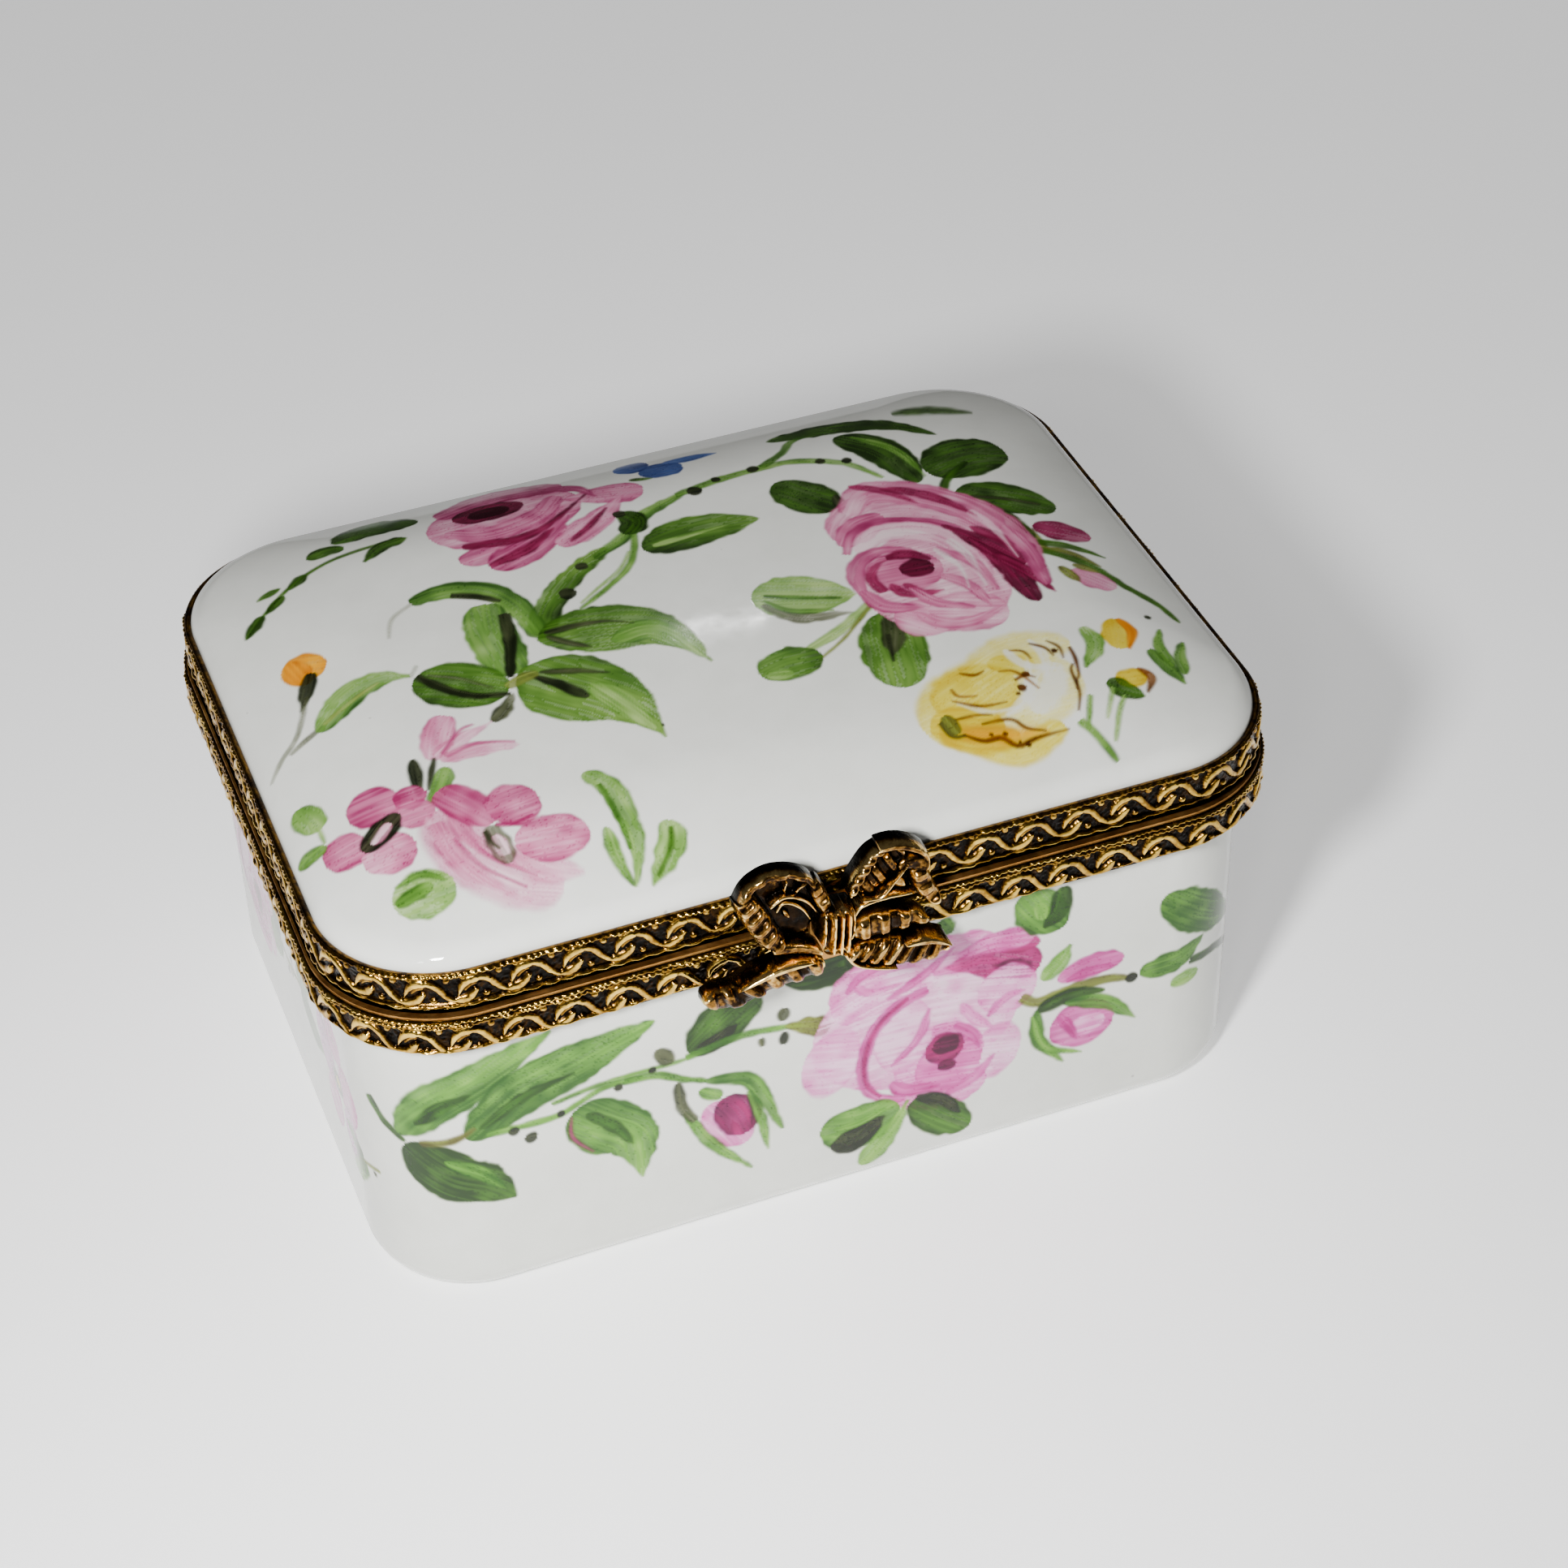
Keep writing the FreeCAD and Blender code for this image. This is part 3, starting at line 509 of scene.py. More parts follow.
LID_ROSE = [
    (PINK, BAND, 2.4, [(10.4, 3.4), (12.2, 5.6), (15.2, 5.6), (18.2, 3.2), (19.4, 0), (19.5, -4)],
     tone(0.3, 0.45)),
    (PINK, BAND, 1.3, [(11.6, 6.2), (13.4, 8.0), (16.0, 7.0), (18.6, 4.4), (20, 1.2)], tone(0.35, 0.45)),
    (PINK, OVAL, 5.1, [(9.2, -2.4), (18.6, -2.4)], tone(0.18, 0.3)),
    (PINK, OVAL, 1.9, [(10.6, -4.2), (13.2, -6.9)], tone(0.35)),
    (PINK, OVAL, 2.0, [(12.4, -5.0), (16.9, -6.9)], tone(0.3, 0.2)),
    (MAROON, LEAF, 0.34, [(12.8, 9.2), (14.8, 7.7), (16.3, 5.6)], tone(0.3, 0.2)),
    (MAROON, LEAF, 0.42, [(14.6, 8.2), (17.2, 6.2), (19.2, 3.0)], tone(0.4)),
    (PINK, BAND, 0.9, [(10.1, 3.0), (11.6, 4.8), (13.6, 5.2)], tone(0.55)),
    (PINK, LINE, 0.3, [(9.9, 2.2), (11, 4.1), (12.9, 4.8), (15, 4.2), (17, 2.8), (18.2, 0.5)],
     tone(0.6, 0.9)),
    (PINK, BAND, 1.0, [(10.6, 2.2), (12.6, 3.5), (15.3, 2.7), (16.8, 0.2), (17.1, -3.2)],
     tone(0.0, 0.1, alpha=0.75)),
    (PINK, LEAF, 0.6, [(9.2, -2.2), (9.9, 0.6), (11.7, 1.8), (14.0, 1.3)], tone(0.6)),
    (PINK, OVAL, 2.1, [(10.2, -0.6), (15.0, -0.9)], tone(0.55, 0.5)),
    (MAROON, OVAL, 0.95, [(12.3, -0.6), (14.5, -0.8)], tone(0.7)),
    (MAROON, LEAF, 0.36, [(11.3, -1.6), (11.7, -2.9), (13.4, -3.6)], tone(0.35)),
    (MAROON, TAIL, 0.4, [(10.6, -2.3), (10.4, -0.7), (11.3, 0.5), (13.0, 0.9)], tone(0.3)),
    (MAROON, LEAF, 0.5, [(12.0, 0.9), (13.4, 0.9), (14.6, -0.2)], tone(0.55)),
    (PINK, LEAF, 0.6, [(9.3, -1.6), (10.1, -3.6), (12.3, -4.6)], tone(0.65)),
    (MAROON, LEAF, 0.3, [(12.0, -1.9), (12.9, -3.2), (14.2, -3.4)], tone(0.3)),
    (PINK, LEAF, 0.45, [(12.2, -2.4), (13.2, -4.4), (15.2, -5.8)], tone(0.6)),
    (PINK, LEAF, 0.45, [(14.4, -1.8), (15.6, -3.4), (16.2, -6.0)], tone(0.5)),
    (PINK, LEAF, 0.4, [(15.3, 0.8), (16.9, -1.5), (17.2, -4.8)], tone(0.55)),
    (PINK, LEAF, 0.5, [(11.6, -4.9), (12.6, -6.4), (14.6, -6.9), (17.0, -6.2)], tone(0.55, 0.35)),
    (MAROON, DROP, 0.9, [(16.6, 3.0), (18.4, 0.2), (19.8, -2.8)], tone(0.5, 0.6)),
    (MAROON, DROP, 0.8, [(17.6, 1.2), (18.6, -2.2), (19.0, -6.6)], tone(0.45, 0.7)),
    (MAROON, LEAF, 0.5, [(18.2, 2.2), (20.0, -0.6), (20.9, -3.6)], tone(0.35, 0.5)),
    (MAROON, LEAF, 0.45, [(18.4, -1.0), (19.6, -3.4), (20.4, -6.2)], tone(0.5)),
    (GLAZE, TAIL, 0.3, [(16.4, 1.4), (16.9, -1.0), (16.6, -4.6)], tone(0.0, alpha=0.6)),
    (GLAZE, TAIL, 0.24, [(15.2, 0.8), (15.9, -1.6), (15.5, -4.4)], tone(0.0, alpha=0.6)),
    (PINK, BAND, 0.6, [(20.2, 1.5), (20.6, -1.5), (20.2, -5.2)], tone(0.55, 0.75)),
    (PINK, TAIL, 0.4, [(18.9, 3.8), (19.6, 1.0), (19.7, -2.5)], tone(0.1, alpha=0.7)),
]

LID_UPPER_LEAVES = [
    (MOSS, OVAL, 1.65, [(8.5, 11.3), (9.9, 9.2), (11.6, 7.2)], tone(0.65, 0.8)),
    (SHADE, LEAF, 0.4, [(11.7, 8.6), (11.6, 7.2), (11.3, 5.9)], tone(0.7)),
    (MOSS, (0.5, 0.6), 1.45, [(14.3, 15.2), (16.5, 12), (17.2, 7.8)], tone(0.85, 0.8)),
    (GREEN, LEAF, 0.35, [(15.2, 14.8), (17.2, 12), (17.9, 8.2)], tone(0.4)),
    (MOSS, LEAF, 0.9, [(10.2, 17.0), (14.4, 16.7), (18, 15.3), (20.6, 12.8)], tone(0.75)),
    (MOSS, OVAL, 2.3, [(18.1, 8.7), (21.2, 9.6), (24.0, 9.4)], tone(0.65, 0.75)),
    (MOSS, LINE, 0.3, [(17.9, 5.8), (19, 7.5), (21, 9)], tone(0.6, 0.9)),
    (MOSS, OVAL, 1.7, [(18.9, 6.0), (21.6, 4.4), (24.4, 2.6)], tone(0.65, 0.6)),
    (SHADE, LINE, 0.16, [(19.6, 5.2), (21.7, 4.2), (23.6, 3.2)], tone(0.6)),
    (MOSS, LEAF, 0.6, [(19.0, 16.8), (21.6, 16.4), (24.2, 15.2)], tone(0.7, alpha=0.8, soft=3)),
]

LID_ROSE_LEAVES = [
    (GREEN, LEAF, 2.1, [(2.9, 0.4), (5.6, -0.6), (9.0, -1.8)], tone(0.3, 0.15)),
    (SHADE, LEAF, 0.5, [(3.2, -0.6), (4.9, -2.7), (8.2, -3.4)], tone(0.4, 0.2)),
    (GREEN, LINE, 0.18, [(3.6, 0.2), (5.6, -0.8), (8.0, -1.8)], tone(0.7)),
    (GREEN, LEAF, 0.22, [(3.4, -0.2), (4.6, -1.8), (7.2, -2.8)], tone(0.6)),
    (GREEN, LINE, 0.42, [(9.4, -3.0), (7, -4.6), (4, -5.9)], tone(0.15, 0.1)),
    (OLIVE, LINE, 0.13, [(9.2, -3.3), (6.6, -5.6), (4.4, -7.0)], tone(0.6)),
    (MOSS, OVAL, 1.5, [(0.7, -7.1), (2.6, -6.6), (4.8, -6.6)], tone(0.3, 0.6)),
    (GREEN, OVAL, 0.5, [(1.0, -7.2), (2.6, -7.6)], tone(0.2)),
    (MOSS, OVAL, 2.05, [(9.8, -4.2), (9.0, -7.6), (8.2, -11.3)], tone(0.5, 0.25)),
    (SHADE, LEAF, 0.8, [(10.2, -4.4), (9.6, -6.2), (8.6, -8.4)], tone(0.75, 0.5)),
    (SHADE, LINE, 0.12, [(9.2, -6.2), (8.5, -8.8)], tone(0.9)),
]

LID_RIGHT_BUDS = [
    (OLIVE, LEAF, 0.45, [(20.9, 1.8), (21.5, 0), (21.9, -2.2)], tone(0.7)),
    (MAROON, OVAL, 1.05, [(22.0, 1.0), (23.6, 0.0), (25.2, -0.9)], tone(0.45, 0.3)),
    (MOSS, LEAF, 0.6, [(19.8, 3.8), (20.9, 1.9), (21.6, -0.6)], tone(0.7)),
    (MOSS, LEAF, 0.36, [(21.0, -0.6), (23.2, -1.6), (25.2, -3.2)], tone(0.6)),
    (OLIVE, LEAF, 0.3, [(20.8, -1.4), (22.8, -2.2), (24.4, -4.2)], tone(0.6)),
    (MOSS, LINE, 0.32, [(20.8, -1.2), (23.5, -3.7), (25, -6.5), (26.2, -8.5), (26.7, -10.4)], tone(0.5)),
    (PINK, OVAL, 0.95, [(22.2, -4.2), (24.2, -6.6)], tone(0.35)),
    (OLIVE, LEAF, 0.4, [(21.7, -3.6), (22.3, -5.6)], tone(0.6)),
    (OLIVE, LEAF, 0.3, [(22.6, -3.6), (24.0, -4.8)], tone(0.5)),
    (GREEN, LEAF, 0.5, [(23.4, -12.8), (23.8, -14.4), (24.3, -16.2)], tone(0.7)),
    (GREEN, LEAF, 0.45, [(24.6, -15.4), (25.0, -13.8), (25.9, -12.4)], tone(0.6)),
    (GREEN, LEAF, 0.4, [(24.2, -14.6), (24.2, -12.6), (25.0, -11.0)], tone(0.55)),
] + dots(SHADE, [(24.8, -9.8, 0.22)])

LID_YELLOW_FLOWER = [
    (YELLOW, OVAL, 3.6, [(7.8, -15.4), (13, -14.0), (18.4, -13.6)], tone(0.35, 0.0, alpha=0.8, soft=3)),
    (YELLOW, OVAL, 1.6, [(12, -12.0), (15.6, -10.6), (19, -11.0)], tone(0.3, 0.05, alpha=0.8, soft=3)),
    (YELLOW, OVAL, 2.4, [(9.2, -14.4), (14.4, -12.2)], tone(0.6, 0.45, alpha=0.9, soft=2)),
    (YELLOW, OVAL, 1.7, [(8.2, -15.0), (12.4, -16.4)], tone(0.6, 0.8, alpha=0.9, soft=2)),
    (YELLOW, BAND, 0.9, [(9.6, -16.8), (12.6, -18.2), (15.8, -17.2)], tone(0.5, 0.4, soft=2)),
    (YELLOW, LEAF, 0.9, [(13.6, -11.0), (15.4, -12.2), (16.0, -14.0)], tone(0.6, 0.3)),
    (GLAZE, OVAL, 1.2, [(14.6, -16.0), (17.4, -12.4)], tone(0.0, alpha=0.8, soft=2)),
    (GLAZE, LEAF, 0.4, [(12.8, -15.6), (14.8, -14.4), (16.0, -11.4)], tone(0.0, alpha=0.8)),
    (GLAZE, LEAF, 0.34, [(15.0, -10.2), (15.6, -12.0), (17.4, -13.0)], tone(0.0, alpha=0.8)),
    (GLAZE, LEAF, 0.3, [(16.8, -9.8), (17.0, -11.6), (16.4, -13.6)], tone(0.0, alpha=0.8)),
    (GLAZE, LEAF, 0.24, [(10.4, -13.6), (12.0, -15.0), (14.0, -15.2)], tone(0.0, alpha=0.7)),
    (YELLOW, OVAL, 1.1, [(8.6, -15.4), (10.4, -16.6), (13.0, -17.2)], tone(0.9, 0.7, alpha=0.85, soft=2)),
    (ORANGE, LEAF, 0.5, [(9.8, -16.0), (12.0, -16.9), (14.8, -17.4)], tone(0.7, 0.5, alpha=0.6, soft=4)),
    (BROWN, LEAF, 0.17, [(9.8, -16.1), (10.8, -16.9), (11.9, -17.0), (12.6, -17.8), (14.0, -17.6),
                         (16.2, -17.6)], tone(0.85, 0.6)),
    (BROWN, LEAF, 0.12, [(11.1, -15.7), (12.9, -15.9), (13.6, -16.8), (14.8, -17.4)], tone(0.6)),
    (BROWN, TAIL, 0.13, [(18.8, -11.3), (18.7, -12.4), (18.3, -13.8), (17.9, -14.4), (17.3, -15.8)],
     tone(0.8)),
    (BROWN, LEAF, 0.1, [(18.4, -12.8), (18.0, -13.4), (17.7, -15.2), (16.9, -16.8)], tone(0.9)),
    (BROWN, LEAF, 0.12, [(11.6, -11.3), (12.4, -11.8), (13.2, -11.6)], tone(0.7)),
    (BROWN, LEAF, 0.1, [(10.2, -13.4), (11.7, -14.4), (13.5, -14.6)], tone(0.5)),
    (BROWN, LEAF, 0.09, [(10.6, -12.4), (10.8, -13.2), (12.0, -13.6)], tone(0.4)),
    (BROWN, LEAF, 0.09, [(9.8, -14.9), (11.2, -15.0), (12.2, -15.3)], tone(0.5)),
    (BROWN, LEAF, 0.11, [(14.4, -13.1), (15.2, -12.9), (15.8, -13.3)], tone(0.8)),
    (BROWN, LEAF, 0.09, [(13.8, -12.0), (14.8, -12.4), (15.6, -14.4)], tone(0.4)),
    (BROWN, LEAF, 0.1, [(16.6, -10.2), (17.4, -11.0), (17.6, -12.0)], tone(0.8)),
    (BROWN, LEAF, 0.09, [(17.7, -10.3), (18.2, -11.2), (18.0, -12.4)], tone(0.7)),
    (BROWN, LEAF, 0.08, [(15.2, -10.4), (16.0, -10.8), (16.2, -11.8)], tone(0.5)),
    (OLIVE, OVAL, 0.5, [(9.3, -14.4), (9.6, -16.0)], tone(0.6)),
    (OLIVE, LINE, 0.16, [(8.9, -14.8), (9.2, -16.0), (10.0, -16.2)], tone(0.9)),
    (YELLOW, OVAL, 1.0, [(22.6, -9.6), (21.7, -12.4)], tone(0.8, 0.5)),
    (ORANGE, LEAF, 0.36, [(22.8, -9.6), (23.1, -11.0), (22.2, -12.6)], tone(0.9)),
    (GREEN, LEAF, 0.6, [(20.4, -9.8), (20.4, -11.6), (18.9, -13.5)], tone(0.2, 0.5)),
    (YELLOW, OVAL, 0.85, [(20.2, -15.0), (22.2, -15.0)], tone(0.7, 0.9)),
    (BROWN, LEAF, 0.3, [(21.9, -14.2), (22.4, -15.2), (21.6, -16.4)], tone(0.5)),
    (MOSS, LEAF, 0.7, [(19.7, -14.8), (20.6, -16.0), (21.4, -16.6)], tone(0.6)),
    (GREEN, LINE, 0.16, [(20.2, -16.2), (19.4, -17.2), (18.2, -19.2)], tone(0.3)),
    (GREEN, LINE, 0.14, [(19.8, -15.4), (18.4, -17.6)], tone(0.15)),
    (GREEN, LINE, 0.3, [(16.8, -17.2), (17.3, -18.4), (17.8, -20.4)], tone(0.4, 0.6)),
    (GREEN, LINE, 0.16, [(18.2, -15.6), (17.0, -18.0)], tone(0.4)),
] + dots(BROWN, [(15.3, -12.8, 0.24), (14.6, -13.8, 0.3), (17.8, -11.4, 0.2), (13.2, -17.9, 0.16),
                 (12.2, -16.8, 0.16), (12.8, -17.6, 0.12), (14.2, -14.2, 0.14), (11.4, -16.6, 0.12)])

LID_PAINTING = (LID_BACK_SPRIG + LID_BACK_ROSE + LID_UPPER_LEAVES + LID_STEM + LID_CLUSTER + LID_ORANGE_BUD
                + LID_TRUMPET + LID_PINK_FLOWERS + LID_FRONT_LEAVES + LID_RIGHT_BUDS + LID_ROSE_LEAVES
                + LID_ROSE + LID_YELLOW_FLOWER)

WALL_LEFT_SPRAY = [
    (MOSS, LINE, 0.3, [(-29.4, 15.4), (-28.3, 13.9), (-26.9, 12.8)], tone(0.6)),
    (GREEN, LEAF, 1.55, [(-27.4, 13.4), (-25.0, 16.2), (-22.0, 18.0), (-17.6, 20.2)],
     tone(0.6, 0.3, side=-0.15)),
    (MOSS, LEAF, 0.45, [(-26.2, 14.4), (-24.5, 16), (-22.6, 16.9)], tone(0.6)),
    (GREEN, LEAF, 1.9, [(-23.2, 13.4), (-20, 15.9), (-16.5, 17), (-11.4, 18.7)], tone(0.7, 0.35, side=-0.1)),
    (MOSS, LEAF, 0.4, [(-22.4, 14.0), (-19.6, 15.6), (-16.4, 16.4)], tone(0.6)),
    (MOSS, LEAF, 2.0, [(-27.0, 12.6), (-24.4, 10.4), (-22.4, 9.4), (-20.6, 7.7)], tone(0.85, 0.5)),
    (GREEN, LEAF, 0.5, [(-24.6, 11.6), (-22.6, 10.4), (-21.2, 8.6)], tone(0.45)),
    (OLIVE, LINE, 0.28, [(-26.0, 12.9), (-24.0, 13.3), (-22.6, 14.2)], tone(0.7)),
    (GREEN, LINE, 0.26, [(-22.0, 13.4), (-18, 13.3), (-16.5, 13.8), (-14.8, 14.5), (-12.4, 14.5)], tone(0.4)),
    (GREEN, LINE, 0.3, [(-13.6, 14.5), (-11.5, 14.3), (-10, 13.4), (-8.5, 12.7)], tone(0.5)),
    (GREEN, LINE, 0.2, [(-18, 14.4), (-15.5, 14.8), (-13, 14.9), (-10, 14.9), (-9, 15.2)], tone(0.4)),
    (GREEN, (0.5, 1.1), 2.1, [(-16.8, 13.2), (-14.8, 11.3), (-13.2, 9.6), (-12.8, 6.2)],
     tone(0.6, 0.25, side=0.1)),
    (PLUM, LEAF, 0.12, [(-16.9, 13), (-16.9, 11.2), (-15.6, 9.4)], tone(0.2, alpha=0.7)),
    (MOSS, LEAF, 0.45, [(-16.0, 12.8), (-14.4, 11.2), (-13.2, 9.2)], tone(0.5)),
    (SHADE, OVAL, 0.42, [(-19.8, 12.3), (-19.0, 12.2)], tone(0.5)),
    (SHADE, OVAL, 0.6, [(-11.5, 16.3), (-10.5, 14.9)], tone(0.45)),
] + dots(SHADE, [(-20.4, 13.1, 0.34), (-17.5, 13.4, 0.26), (-13.9, 14.2, 0.3), (-11.8, 14.8, 0.26)])

WALL_BUD = [
    (MAUVE, OVAL, 1.5, [(-8.5, 10.6), (-7.3, 8.6), (-6.2, 6.6)], tone(0.15, 0.25)),
    (PLUM, OVAL, 1.35, [(-7.6, 10.8), (-6.7, 9.2), (-6.2, 7.4)], tone(0.45, 0.35)),
    (PLUM, LEAF, 0.35, [(-5.9, 10.4), (-5.5, 9.2), (-5.8, 7.6)], tone(0.75)),
    (GREEN, OVAL, 0.5, [(-9.0, 12.0), (-7.6, 11.0)], tone(0.4)),
    (GREEN, LEAF, 0.55, [(-8.6, 12.7), (-6.0, 11.9), (-4.9, 9.8), (-3.8, 6.8)], tone(0.6, 0.3)),
    (GREEN, LEAF, 0.35, [(-5.9, 10.9), (-5.2, 8.4), (-4.8, 5.4)], tone(0.5, 0.3)),
    (GREEN, LEAF, 0.4, [(-10.0, 10.6), (-8.4, 7.4), (-5.8, 4.2)], tone(0.5, 0.3)),
    (SHADE, BAND, 0.4, [(-10.3, 13.2), (-10.1, 11.2), (-9.3, 9.6)], tone(0.5, 0.4)),
]

WALL_MIDDLE_LEAVES = [
    (MOSS, OVAL, 1.75, [(-9.4, 15.2), (-7.4, 17.0), (-5.0, 18.8)], tone(0.6, 0.5)),
    (SHADE, LEAF, 0.6, [(-9.2, 15.1), (-7.8, 15.6), (-6.4, 16.6)], tone(0.7)),
    (GREEN, LINE, 0.3, [(-9.7, 15), (-6.5, 15.5), (-4, 15.3), (-2.4, 15.0)], tone(0.4)),
    (OLIVE, DROP, 0.75, [(-3.6, 15.3), (-2.0, 14.8), (-0.6, 14.1)], tone(0.4, 0.8)),
    (SHADE, OVAL, 0.4, [(-3.5, 16.8), (-3.6, 15.7)], tone(0.4)),
    (SHADE, OVAL, 0.32, [(-3.5, 14.9), (-3.6, 13.8)], tone(0.7)),
    (SHADE, OVAL, 0.22, [(-5.0, 14.9), (-4.9, 14.1)], tone(0.3)),
    (MOSS, OVAL, 1.5, [(-3.5, 19.2), (-0.8, 18.9), (1.9, 19.4)], tone(0.75, 0.85)),
    (MOSS, LEAF, 0.6, [(0.6, 19.4), (1.3, 18.4), (1.5, 17.0)], tone(0.7)),
    (GREEN, OVAL, 0.6, [(6.4, 20.2), (7.2, 19.0)], tone(0.5)),
]

WALL_ROSE = [
    (MAUVE, OVAL, 5.3, [(-1.8, 12.0), (5, 12.6), (11.6, 11.4)], tone(0.08, 0.12)),
    (MAUVE, OVAL, 2.6, [(-2.4, 11.6), (1.2, 10.6)], tone(0.15, 0.1, soft=2)),
    (MAUVE, OVAL, 2.0, [(-0.6, 15.6), (3.6, 17.2)], tone(0.25, 0.3)),
    (MAUVE, OVAL, 1.8, [(0.6, 17.6), (6.4, 17.6)], tone(0.35, 0.2)),
    (MAUVE, OVAL, 1.6, [(4.8, 17.4), (10.4, 17.0)], tone(0.25, 0.3)),
    (MAUVE, BAND, 1.6, [(-0.4, 14.8), (2.6, 15.8), (6.0, 15.6)], tone(0.15)),
    (PLUM, DROP, 1.6, [(6.6, 16.3), (9.6, 15.9), (13.0, 14.2)], tone(0.2, 0.4)),
    (PLUM, OVAL, 0.7, [(9.8, 17.0), (13.0, 16.2)], tone(0.25)),
    (PLUM, DROP, 0.7, [(9.8, 15.4), (11.2, 14.8), (12.4, 13.9)], tone(0.7)),
    (MAUVE, DROP, 0.9, [(7.2, 16.8), (9.6, 17.2), (12.6, 16.8)], tone(0.5)),
    (MAUVE, OVAL, 2.0, [(9.0, 13.6), (12.8, 12.6)], tone(0.15)),
    (MAUVE, OVAL, 2.2, [(8.6, 8.6), (11.8, 7.8)], tone(0.12, soft=2)),
    (MAUVE, OVAL, 1.8, [(3.4, 6.8), (9.6, 6.0)], tone(0.4, 0.25)),
    (MAUVE, LEAF, 0.34, [(3.0, 15.0), (5.4, 16.2), (7.4, 17.8)], tone(0.6)),
    (MAUVE, LEAF, 0.3, [(0.4, 16.4), (1.6, 17.6), (4.4, 18.2)], tone(0.6)),
    (MAUVE, TAIL, 0.3, [(1.0, 16.8), (2.0, 16.0), (4.4, 16.0)], tone(0.45)),
    (MAUVE, OVAL, 2.7, [(3.4, 9.4), (9.4, 8.8)], tone(0.3, 0.35)),
    (MAUVE, OVAL, 3.0, [(2.2, 11.8), (6.0, 11.6)], tone(0.03, alpha=0.8)),
    (MAUVE, LINE, 0.42, [(5.7, 14.9), (3.8, 14.3), (2.3, 12.9), (1.5, 10.8), (1.5, 8.5), (2.5, 7),
                         (4.2, 6.3)], tone(0.75, 0.65)),
    (PLUM, LINE, 0.16, [(4.4, 14.7), (2.5, 13.2), (1.6, 11), (1.6, 8.6), (2.6, 7)], tone(0.4)),
    (MAUVE, LEAF, 0.3, [(5.8, 13.4), (5, 11), (3.2, 9.3)], tone(0.65)),
    (MAUVE, OVAL, 2.3, [(4.9, 8.6), (9.2, 7.8)], tone(0.5, 0.45)),
    (MAUVE, LEAF, 0.4, [(7.8, 13), (8.8, 11.4), (10, 10.2)], tone(0.3)),
    (MAUVE, LEAF, 0.35, [(7.4, 11.4), (8.6, 10.2), (9.2, 8.8)], tone(0.6)),
    (PLUM, OVAL, 1.3, [(5.5, 9.7), (8.1, 9.6)], tone(0.5)),
    (PLUM, OVAL, 0.8, [(6.0, 10.0), (7.8, 9.8)], tone(0.9)),
    (PLUM, OVAL, 0.45, [(6.3, 8.2), (7.6, 8.1)], tone(0.7)),
    (MAUVE, LEAF, 0.5, [(3.2, 8.0), (4.2, 7.0), (6.6, 6.6)], tone(0.7)),
    (MAUVE, LEAF, 0.4, [(6.8, 5.6), (8.8, 6.4), (10.2, 8.0)], tone(0.55)),
    (MAUVE, LEAF, 0.3, [(9.6, 11.2), (10.8, 12.4), (12.2, 12.6)], tone(0.5)),
]

WALL_LOWER_LEAVES = [
    (GREEN, OVAL, 1.8, [(-1.4, 5.6), (1.2, 5.1), (3.8, 5.9)], tone(0.45, 0.4)),
    (SHADE, LEAF, 0.95, [(-0.8, 4.0), (1.0, 4.1), (2.9, 5.4)], tone(0.6, 0.7)),
    (GREEN, LEAF, 0.3, [(-0.6, 5.4), (1.2, 5.4), (3.0, 6.0)], tone(0.2)),
    (MOSS, OVAL, 1.45, [(4.6, 5.9), (6.5, 4.0), (8.5, 2.3)], tone(0.6, 0.45)),
    (SHADE, LEAF, 0.5, [(4.9, 6.2), (6.7, 5.2), (7.9, 3.6)], tone(0.6)),
    (GREEN, DROP, 0.8, [(4.4, 6.2), (3.3, 4), (1.2, 1.6)], tone(0.1, 0.2)),
]

